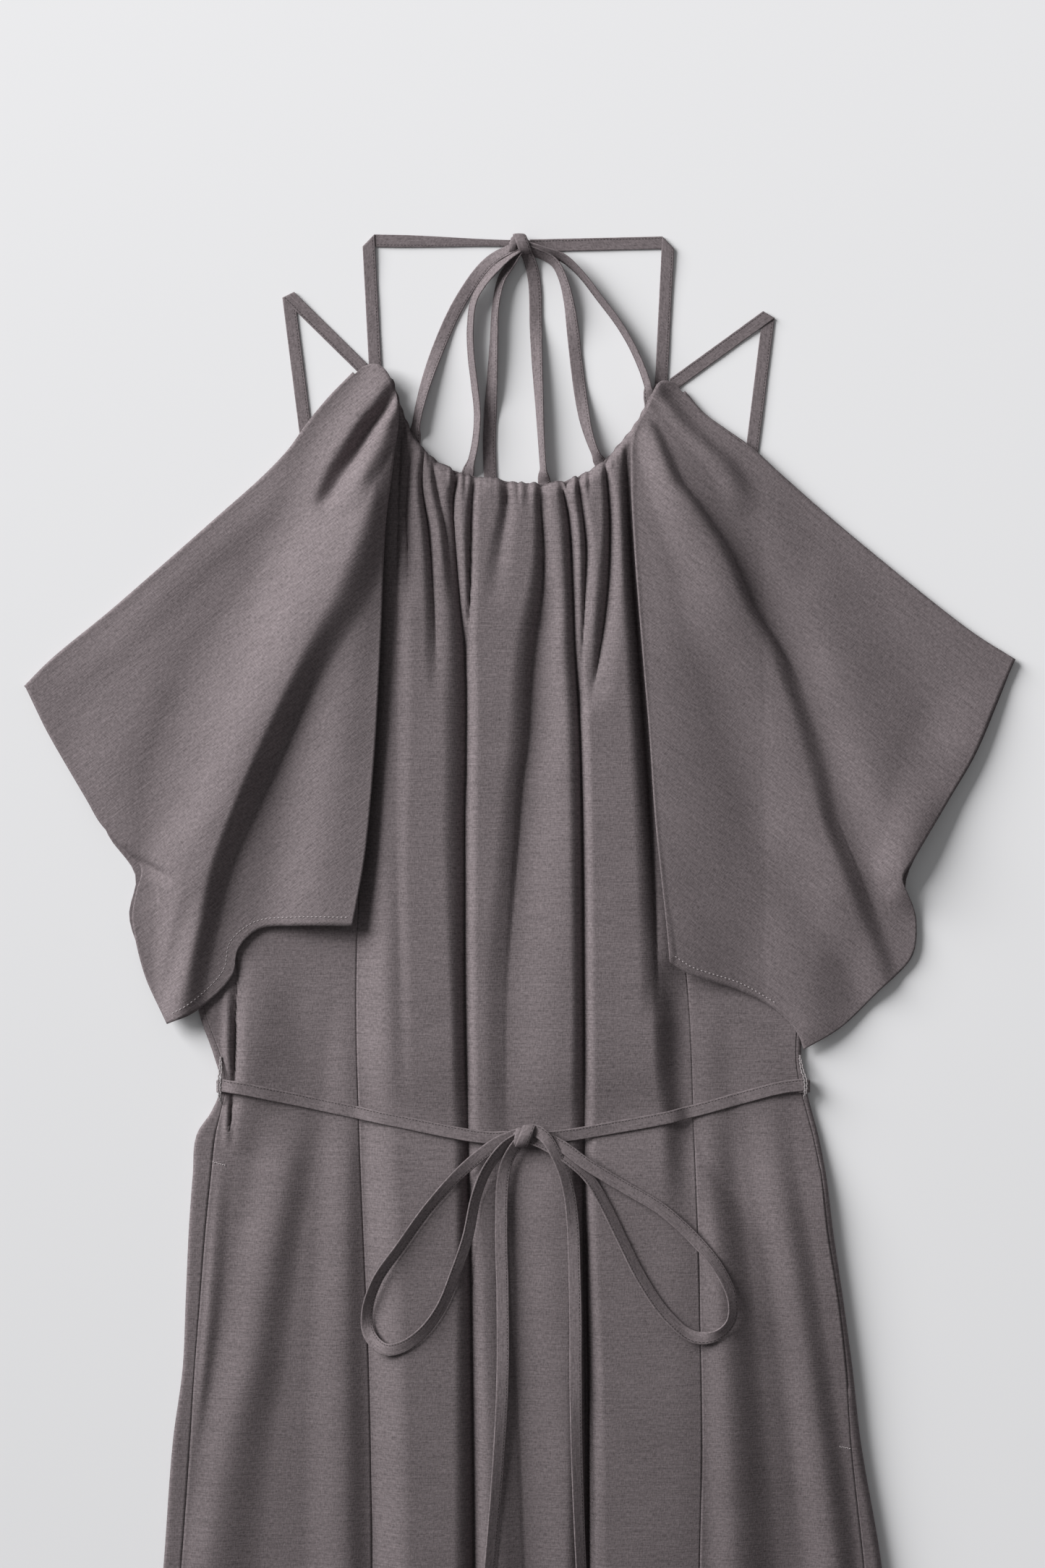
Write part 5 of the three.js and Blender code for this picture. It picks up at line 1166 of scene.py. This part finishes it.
class DRESS_OT_front_centre(bpy.types.Operator):
    """The gathered centre panel"""
    bl_idname = "dress.front_centre"
    bl_label = "Front centre"

    def execute(self, context):
        settings = context.scene.dress_cloth
        x, y, row_y = centre_grid(56, 280)
        z = front_height(x, y)
        below = np.hypot(x - x[0], y - y[0])
        pucker = np.sin(x * 0.62 + 2.4 * np.sin(x * 0.17)) * 0.7 + np.sin(x * 1.35 + 2.2 * np.sin(x * 0.31)) * 0.22
        gathered = sum(crease_depth(rows, x, np.minimum(y, y[8])) for rows in FRONT_CREASES.values())
        roll = np.clip(1 - below / 7, 0, 1)
        z = z + pucker * 1.5 * np.exp(-(below / 11) ** 2)
        z = z * (1 - roll**2) + np.minimum(z, FRONT_LEVEL + 0.4) * roll**2
        y = y + (pucker * 0.9 - np.minimum(gathered, 8) * 0.42 + 0.9) * np.exp(-(below / 6) ** 2)
        z = z + stray_ripples(x, y, 0.35)
        mesh = cloth_mesh("front_center", np.stack([x, y, z], axis=-1))
        mesh.materials.append(cloth_material("Suiting"))
        piece = link_mesh("front_center_cloth", mesh, ("front_center_panel",))
        add_thickness(piece, settings.thickness)
        return {"FINISHED"}


def stray_ripples(x, y, height):
    """Slight unevenness that lies in any cloth."""
    slow = np.sin(x * 0.043 + y * 0.019) * np.sin(y * 0.031 - x * 0.012)
    quick = np.sin(x * 0.11 - y * 0.037 + 1.7) * np.sin(y * 0.053 + x * 0.02 + 0.6)
    return height * (slow * 0.7 + quick * 0.3)


def side_rows(count):
    down = np.linspace(0, 1, count)
    return BACK_TOP - (BACK_TOP - HEM) * down


class DRESS_OT_front_sides(bpy.types.Operator):
    """The side panels of the front"""
    bl_idname = "dress.front_sides"
    bl_label = "Front sides"

    def execute(self, context):
        settings = context.scene.dress_cloth
        for side in ("left", "right"):
            sign = -1 if side == "left" else 1
            row_y = side_rows(300)[:, None]
            seam = columns_at(SIDE_SECTIONS, row_y, side + "_seam") - sign * SEAM / 2
            princess = columns_at(FRONT_SECTIONS, row_y, side + "_seam") + sign * SEAM / 2
            across = np.linspace(0, 1, 71)[None, :]
            start, end = (seam, princess) if side == "left" else (princess, seam)
            x = start * (1 - across) + end * across
            y = row_y + (hem_at(x) - HEM) * np.clip((200 - row_y) / 841, 0, 1)
            edge = np.minimum(np.abs(x - seam), np.abs(x - princess))
            z = front_height(x, y) + stray_ripples(x, y, 0.4) * smooth_step(edge, 0, 12)
            mesh = cloth_mesh("front_side_" + side, np.stack([x, y, z], axis=-1))
            mesh.materials.append(cloth_material("Suiting"))
            piece = link_mesh(f"front_side_{side}_cloth", mesh, (f"front_side_panel_{side}",))
            add_thickness(piece, settings.thickness)
        return {"FINISHED"}


class DRESS_OT_back(bpy.types.Operator):
    """The back panel, wrapped a little to the front at both sides"""
    bl_idname = "dress.back"
    bl_label = "Back"

    def execute(self, context):
        settings = context.scene.dress_cloth
        row_y = side_rows(260)
        off = np.clip((np.abs(row_y - BELT_HEIGHT) - 4.5) / 12, 0, 1)
        bottom = BACK_LEVEL + np.where(off < 1, 2 * np.cos(off * math.pi / 2) ** 2, 0)
        radius = (FRONT_LEVEL - bottom) / 2
        lifted = side_lift(np.full_like(row_y, 200.0), row_y)
        far_radius = (FRONT_LEVEL + lifted - bottom) / 2
        value = {key: columns_at(SIDE_SECTIONS, row_y, key)
                 for key in ("left_seam", "left_edge", "right_seam", "right_edge")}
        turns = np.radians((90, 60, 30, 0, -30, -60, -90))
        xs, zs, flats = [], [], []
        inset = CLOTH / 2
        for share in np.linspace(0, 1, 6)[:-1]:
            top = value["left_edge"] + inset + radius
            xs.append((value["left_seam"] - SEAM / 2) * (1 - share) + top * share)
            zs.append(np.full_like(row_y, FRONT_LEVEL))
        for turn in turns:
            xs.append(value["left_edge"] + inset + radius * (1 - math.cos(turn)))
            zs.append(bottom + radius * (1 + math.sin(turn)))
        for share in np.linspace(0, 1, 46)[1:-1]:
            xs.append(value["left_edge"] * (1 - share) + value["right_edge"] * share)
            zs.append(bottom + 0)
        for turn in turns[::-1]:
            xs.append(value["right_edge"] - inset - far_radius * (1 - math.cos(turn)))
            zs.append(bottom + far_radius * (1 + math.sin(turn)))
        for share in np.linspace(1, 0, 6)[1:]:
            top = value["right_edge"] - inset - far_radius
            seam = np.minimum(value["right_seam"] + SEAM / 2, top)
            xs.append(seam * (1 - share) + top * share)
            zs.append(FRONT_LEVEL + lifted)
        x, z = np.stack(xs, axis=-1), np.stack(zs, axis=-1)
        y = row_y[:, None] + (hem_at(x) - HEM) * np.clip((200 - row_y[:, None]) / 841, 0, 1)
        mesh = cloth_mesh("back", np.stack([x, y, z], axis=-1)[:, ::-1])
        mesh.materials.append(cloth_material("Suiting"))
        piece = link_mesh("back_cloth", mesh, ("back_panel",))
        add_thickness(piece, settings.thickness)
        return {"FINISHED"}


def under_height(sleeve, x, y):
    far, _, _ = distance_to(sleeve["strap_bridge"], x, y)
    off = np.clip((far - 10) / 40, 0, 1)
    return BACK_LEVEL + np.where(off < 1, 1.3 * np.cos(off * math.pi / 2) ** 2, 0)


def over_body(x, y):
    """How far a place lies over the body rather than beside it, from 1 to 0."""
    row = np.clip(y, 100, BACK_TOP)
    above = np.clip((y - BACK_TOP) / 110, 0, 1)
    left = (columns_at(SIDE_SECTIONS, row, "left_edge") + 3) * (1 - above) - 92 * above
    right = (columns_at(SIDE_SECTIONS, row, "right_edge") - 3) * (1 - above) + 96 * above
    outside = np.maximum(np.maximum(left - x, x - right), 0)
    return smooth_step(1 - outside / 34, 0, 1)


def sleeve_height(sleeve, folds, x, y, from_fold):
    body = over_body(x, y)
    under = under_height(sleeve, x, y) + SLEEVE_LEVEL
    rise = columns_at(FRONT_SECTIONS, np.clip(y, 100, 548), "rise")
    off = np.clip((np.abs(x) - 88) / 80, 0, 1)
    draped = FRONT_LEVEL + rise * np.cos(off * math.pi / 2) ** 2 + sleeve["lift"]
    on_body = np.maximum(np.maximum(front_envelope(x, y, 9) + 1.2, draped), under)
    settled = under * (1 - body) + on_body * body
    loose = smooth_step(from_fold, 0, 26)
    raised = sum(path_fold(rows, x, y) for rows in folds.values())
    return under * (1 - loose) + settled * loose + raised * loose


def blend_edges(top, bottom, inner, outer, across, down):
    """A surface between four edges, at arrays of shares."""
    corner = {key: line[[0, -1]] for key, line in (("top", top), ("bottom", bottom))}
    a, d = across[..., None], down[..., None]
    edges = along_line(top, across) * (1 - d) + along_line(bottom, across) * d
    edges = edges + along_line(inner, down) * (1 - a) + along_line(outer, down) * a
    corners = corner["top"][0] * (1 - a) * (1 - d) + corner["top"][1] * a * (1 - d)
    return edges - corners - corner["bottom"][0] * (1 - a) * d - corner["bottom"][1] * a * d


def sleeve_grid(sleeve, folds, columns, front_rows, under_rows):
    """A sleeve as one sheet: up the front layer, round the upper fold and down the layer below."""
    line = {key: spline(sleeve[key], 40) for key in ("fold", "outer", "inner", "hem", "under_outer", "under_hem")}
    outward = -1 if sleeve["side"] == "left_edge" else 1
    beside = [(float(columns_at(SIDE_SECTIONS, np.array(y), sleeve["side"])) + outward * UNDER_CLEARANCE, y)
              for y in UNDER_ROWS]
    under_inner = np.array([*sleeve["under_start"], *beside], float)
    across = np.linspace(0, 1, columns)
    tangent = np.gradient(along_line(line["fold"], across), axis=0)
    tangent = tangent / np.linalg.norm(tangent, axis=1)[:, None]
    inward = np.stack([-tangent[:, 1], tangent[:, 0]], axis=-1)
    inward = np.where(inward[:, 1:] > 0, -inward, inward)
    inset = SLEEVE_FOLD_RADIUS + CLOTH / 2
    rows = []
    down = (np.linspace(1, 0, front_rows, endpoint=False) ** 1.15)[:, None]
    place = blend_edges(line["fold"], line["hem"], line["inner"], line["outer"],
                        np.broadcast_to(across, (front_rows, columns)), np.broadcast_to(down, (front_rows, columns)))
    from_fold, _, _ = distance_to(line["fold"], place[..., 0], place[..., 1])
    place = place + inward[None] * (inset * np.clip(1 - from_fold / 30, 0, 1))[..., None]
    z = sleeve_height(sleeve, folds, place[..., 0], place[..., 1], from_fold)
    z = z + stray_ripples(place[..., 0], place[..., 1], 0.5) * smooth_step(from_fold, 4, 40)
    rows.append(np.concatenate([place, z[..., None]], axis=-1))
    edge = along_line(line["fold"], across)
    bottom = under_height(sleeve, edge[:, 0], edge[:, 1])
    for turn in np.radians((90, 60, 30, 0, -30, -60, -90)):
        shifted = edge + inward * (CLOTH / 2 + SLEEVE_FOLD_RADIUS * (1 - math.cos(turn)))
        height = bottom + SLEEVE_FOLD_RADIUS * (1 + math.sin(turn))
        rows.append(np.concatenate([shifted, height[:, None]], axis=-1)[None])
    down = np.linspace(0, 1, under_rows)[1:, None]
    shape = (under_rows - 1, columns)
    place = blend_edges(line["fold"], line["under_hem"], under_inner, line["under_outer"],
                        np.broadcast_to(across, shape), np.broadcast_to(down, shape))
    from_fold, _, _ = distance_to(line["fold"], place[..., 0], place[..., 1])
    place = place + inward[None] * (inset * np.clip(1 - from_fold / 30, 0, 1))[..., None]
    z = under_height(sleeve, place[..., 0], place[..., 1])
    rows.append(np.concatenate([place, z[..., None]], axis=-1))
    grid = np.vstack(rows)
    return grid if outward < 0 else grid[:, ::-1]


class DRESS_OT_sleeves(bpy.types.Operator):
    """The wide cape sleeves"""
    bl_idname = "dress.sleeves"
    bl_label = "Sleeves"

    def execute(self, context):
        settings = context.scene.dress_cloth
        for side, sleeve in SLEEVES.items():
            grid = sleeve_grid(sleeve, SLEEVE_FOLDS[side], 130, 150, 40)
            mesh = cloth_mesh("sleeve_" + side, grid)
            turn = math.radians(-38 if side == "left" else 38)
            mesh.materials.append(cloth_material("Sleeve Suiting " + side.title(), turn))
            piece = link_mesh(f"sleeve_{side}_cloth", mesh, (f"sleeve_{side}",))
            add_thickness(piece, settings.thickness)
        return {"FINISHED"}


class DRESS_OT_casing(bpy.types.Operator):
    """The narrow strip inside the neckline"""
    bl_idname = "dress.casing"
    bl_label = "Neckline casing"

    def execute(self, context):
        settings = context.scene.dress_cloth
        dense = spline(NECKLINE, 20)
        share = np.linspace(0, 1, 180)
        line = along_line(dense, share)
        tangent = np.gradient(line, axis=0)
        tangent = tangent / np.linalg.norm(tangent, axis=1)[:, None]
        normal = np.stack([-tangent[:, 1], tangent[:, 0]], axis=-1)
        rows = []
        for offset in np.linspace(1.2, -9, 9):
            ripple = 0.25 * np.sin(share * 210 + offset)
            place = line + normal * (offset + 0.35 * np.sin(share * 160) * (offset > 0))[:, None] \
                if np.ndim(offset) else line + normal * (offset + (0.35 * np.sin(share * 160))[:, None] * (offset > 0))
            rows.append(np.column_stack([place, CASING_LEVEL + ripple]))
        mesh = cloth_mesh("neckline_casing", np.stack(rows)[::-1])
        mesh.materials.append(cloth_material("Casing Suiting", 0.0, 0.92))
        piece = link_mesh("neckline_casing_cloth", mesh, ("neckline_casing",))
        add_thickness(piece, settings.thickness)
        return {"FINISHED"}


class DRESS_OT_pockets(bpy.types.Operator):
    """Hidden pocket bags"""
    bl_idname = "dress.pockets"
    bl_label = "Pocket bags"

    def execute(self, context):
        for name in ("pocket_bag_left", "pocket_bag_right"):
            low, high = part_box(name)
            bm = bmesh.new()
            bmesh.ops.create_grid(bm, x_segments=30, y_segments=50, size=1)
            pattern = bm.loops.layers.uv.new("Pattern")
            centre, half = (low + high) / 2, (high - low) / 2
            for vert in bm.verts:
                u, v = vert.co.x, vert.co.y
                squeeze = 1 - 0.16 * max(abs(v) - 0.6, 0) / 0.4
                vert.co = Vector((centre.x + u * half.x * squeeze, centre.y + v * half.y, centre.z))
            for face in bm.faces:
                for loop in face.loops:
                    loop[pattern].uv = (loop.vert.co.x, loop.vert.co.y)
            mesh = bpy.data.meshes.new(name)
            bm.to_mesh(mesh)
            bm.free()
            mesh.materials.append(cloth_material("Pocket Cloth", 0.0, 0.85))
            piece = link_mesh(name + "_cloth", mesh, (name,))
            add_thickness(piece, 0.0012)
        return {"FINISHED"}


class DRESS_OT_thread_loops(bpy.types.Operator):
    """Thread chains that hold the belt at the sides"""
    bl_idname = "dress.thread_loops"
    bl_label = "Thread loops"

    def execute(self, context):
        for name, rows in THREAD_LOOPS.items():
            low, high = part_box(name)
            top = high.z / TO_METRES - 0.9
            line = along_line(spline(rows, 20), np.linspace(0, 1, 110))
            for part, apart in (("_inner", 0.75), ("_outer", -0.75)):
                rings = []
                for i, (x, y, z) in enumerate(line):
                    swell = 0.42 + 0.16 * abs(math.sin(i * 0.55))
                    sway = apart * math.sin(math.pi * i / 109) ** 0.6 + 0.2 * math.sin(i * 0.55 + apart)
                    height = max(top + z, FRONT_LEVEL + 1.2)
                    rings.append([Vector((x + sway + swell * math.cos(a), y, height + swell * math.sin(a))) * TO_METRES
                                  for a in np.linspace(0, 2 * math.pi, 9)[:-1]])
                mesh = swept_mesh(name + part, rings, np.linspace(0, 0.03, len(rings)), [0.0] * 8)
                mesh.materials.append(thread_material("Chain Thread", 0.66))
                link_mesh(name + part + "_thread", mesh, (name,))
        return {"FINISHED"}


def stitch_mesh(name, places):
    """Short rounded stitches at places: each a centre, a direction and a length in millimetres."""
    bm = bmesh.new()
    for x, y, z, dx, dy, length in places:
        made = bmesh.ops.create_icosphere(bm, subdivisions=1, radius=1)["verts"]
        for vert in made:
            a, b, c = vert.co.x * length / 2, vert.co.y * 0.34, vert.co.z * 0.24
            vert.co = Vector((x + dx * a - dy * b, y + dy * a + dx * b, z + c)) * TO_METRES
    mesh = bpy.data.meshes.new(name)
    bm.to_mesh(mesh)
    bm.free()
    return mesh


def surface_heights(cloth, places):
    """Height of a cloth's upper face below each place, in millimetres."""
    graph = bpy.context.evaluated_depsgraph_get()
    surface = cloth.evaluated_get(graph)
    heights = []
    for x, y in places:
        hit, point, _, _ = surface.ray_cast(Vector((x, y, 60)) * TO_METRES, Vector((0, 0, -1)))
        heights.append(point.z / TO_METRES if hit else FRONT_LEVEL)
    return heights


def stitched_line(cloth, rows, pitch, share, swing=0.0):
    """Places of stitches along rows on a cloth."""
    dense = spline(rows, 20)
    count = max(2, round(line_length(dense) / pitch))
    line = along_line(dense, (np.arange(count) + 0.5) / count)
    heading = np.gradient(line, axis=0)
    heading = heading / np.linalg.norm(heading, axis=1)[:, None]
    heights = surface_heights(cloth, line)
    places = []
    for i, ((x, y), (dx, dy), z) in enumerate(zip(line, heading, heights)):
        lean = swing if i % 2 else -swing
        cos, sin = math.cos(lean), math.sin(lean)
        places.append((x, y, z + 0.1, dx * cos - dy * sin, dx * sin + dy * cos, pitch * share))
    return places


class DRESS_OT_stitches(bpy.types.Operator):
    """Rows of stitches at the sleeves' hems, and the bar tacks of the pockets"""
    bl_idname = "dress.stitches"
    bl_label = "Stitches"

    def execute(self, context):
        for side, rows in HEM_STITCHES.items():
            cloth = bpy.data.objects[f"sleeve_{side}_cloth"]
            mesh = stitch_mesh("hem_stitches_" + side, stitched_line(cloth, rows, 2.7, 0.74))
            mesh.materials.append(thread_material("Sewing Thread", 1.0))
            link_mesh(mesh.name, mesh)
        for side, rows in BAR_TACKS.items():
            cloth = bpy.data.objects[f"front_side_{side}_cloth"]
            mesh = stitch_mesh("bar_tack_" + side, stitched_line(cloth, rows, 1.2, 1.5, 0.6))
            mesh.materials.append(thread_material("Sewing Thread", 1.0))
            link_mesh(mesh.name, mesh)
        return {"FINISHED"}


MAKING_ORDER = ("studio", "neck_ties", "belt_ties", "belt_back", "straps", "knots", "back", "front_centre",
                "front_sides", "sleeves", "casing", "pockets", "thread_loops", "stitches")


class DRESS_PT_panel(bpy.types.Panel):
    """Lists the dress's pieces and their settings"""
    bl_idname = "DRESS_PT_panel"
    bl_label = "Halter Dress"
    bl_space_type = "VIEW_3D"
    bl_region_type = "UI"
    bl_category = "Dress"

    def draw(self, context):
        layout = self.layout
        for group in (context.scene.dress_cloth, context.scene.dress_ties, context.scene.dress_studio):
            box = layout.box()
            for key in group.__annotations__:
                box.prop(group, key)
        for name in MAKING_ORDER:
            layout.operator("dress." + name)


CLASSES = (ClothSettings, TieSettings, StudioSettings, DRESS_OT_studio, DRESS_OT_neck_ties, DRESS_OT_belt_ties,
           DRESS_OT_belt_back, DRESS_OT_straps, DRESS_OT_knots, DRESS_OT_back, DRESS_OT_front_centre,
           DRESS_OT_front_sides, DRESS_OT_sleeves, DRESS_OT_casing, DRESS_OT_pockets, DRESS_OT_thread_loops,
           DRESS_OT_stitches, DRESS_PT_panel)


def register():
    for item in CLASSES:
        bpy.utils.register_class(item)
    bpy.types.Scene.dress_cloth = PointerProperty(type=ClothSettings)
    bpy.types.Scene.dress_ties = PointerProperty(type=TieSettings)
    bpy.types.Scene.dress_studio = PointerProperty(type=StudioSettings)


def unregister():
    del bpy.types.Scene.dress_studio
    del bpy.types.Scene.dress_ties
    del bpy.types.Scene.dress_cloth
    for item in reversed(CLASSES):
        bpy.utils.unregister_class(item)


def main():
    register()
    for name in MAKING_ORDER:
        getattr(bpy.ops.dress, name)()


if __name__ == "__main__":
    main()
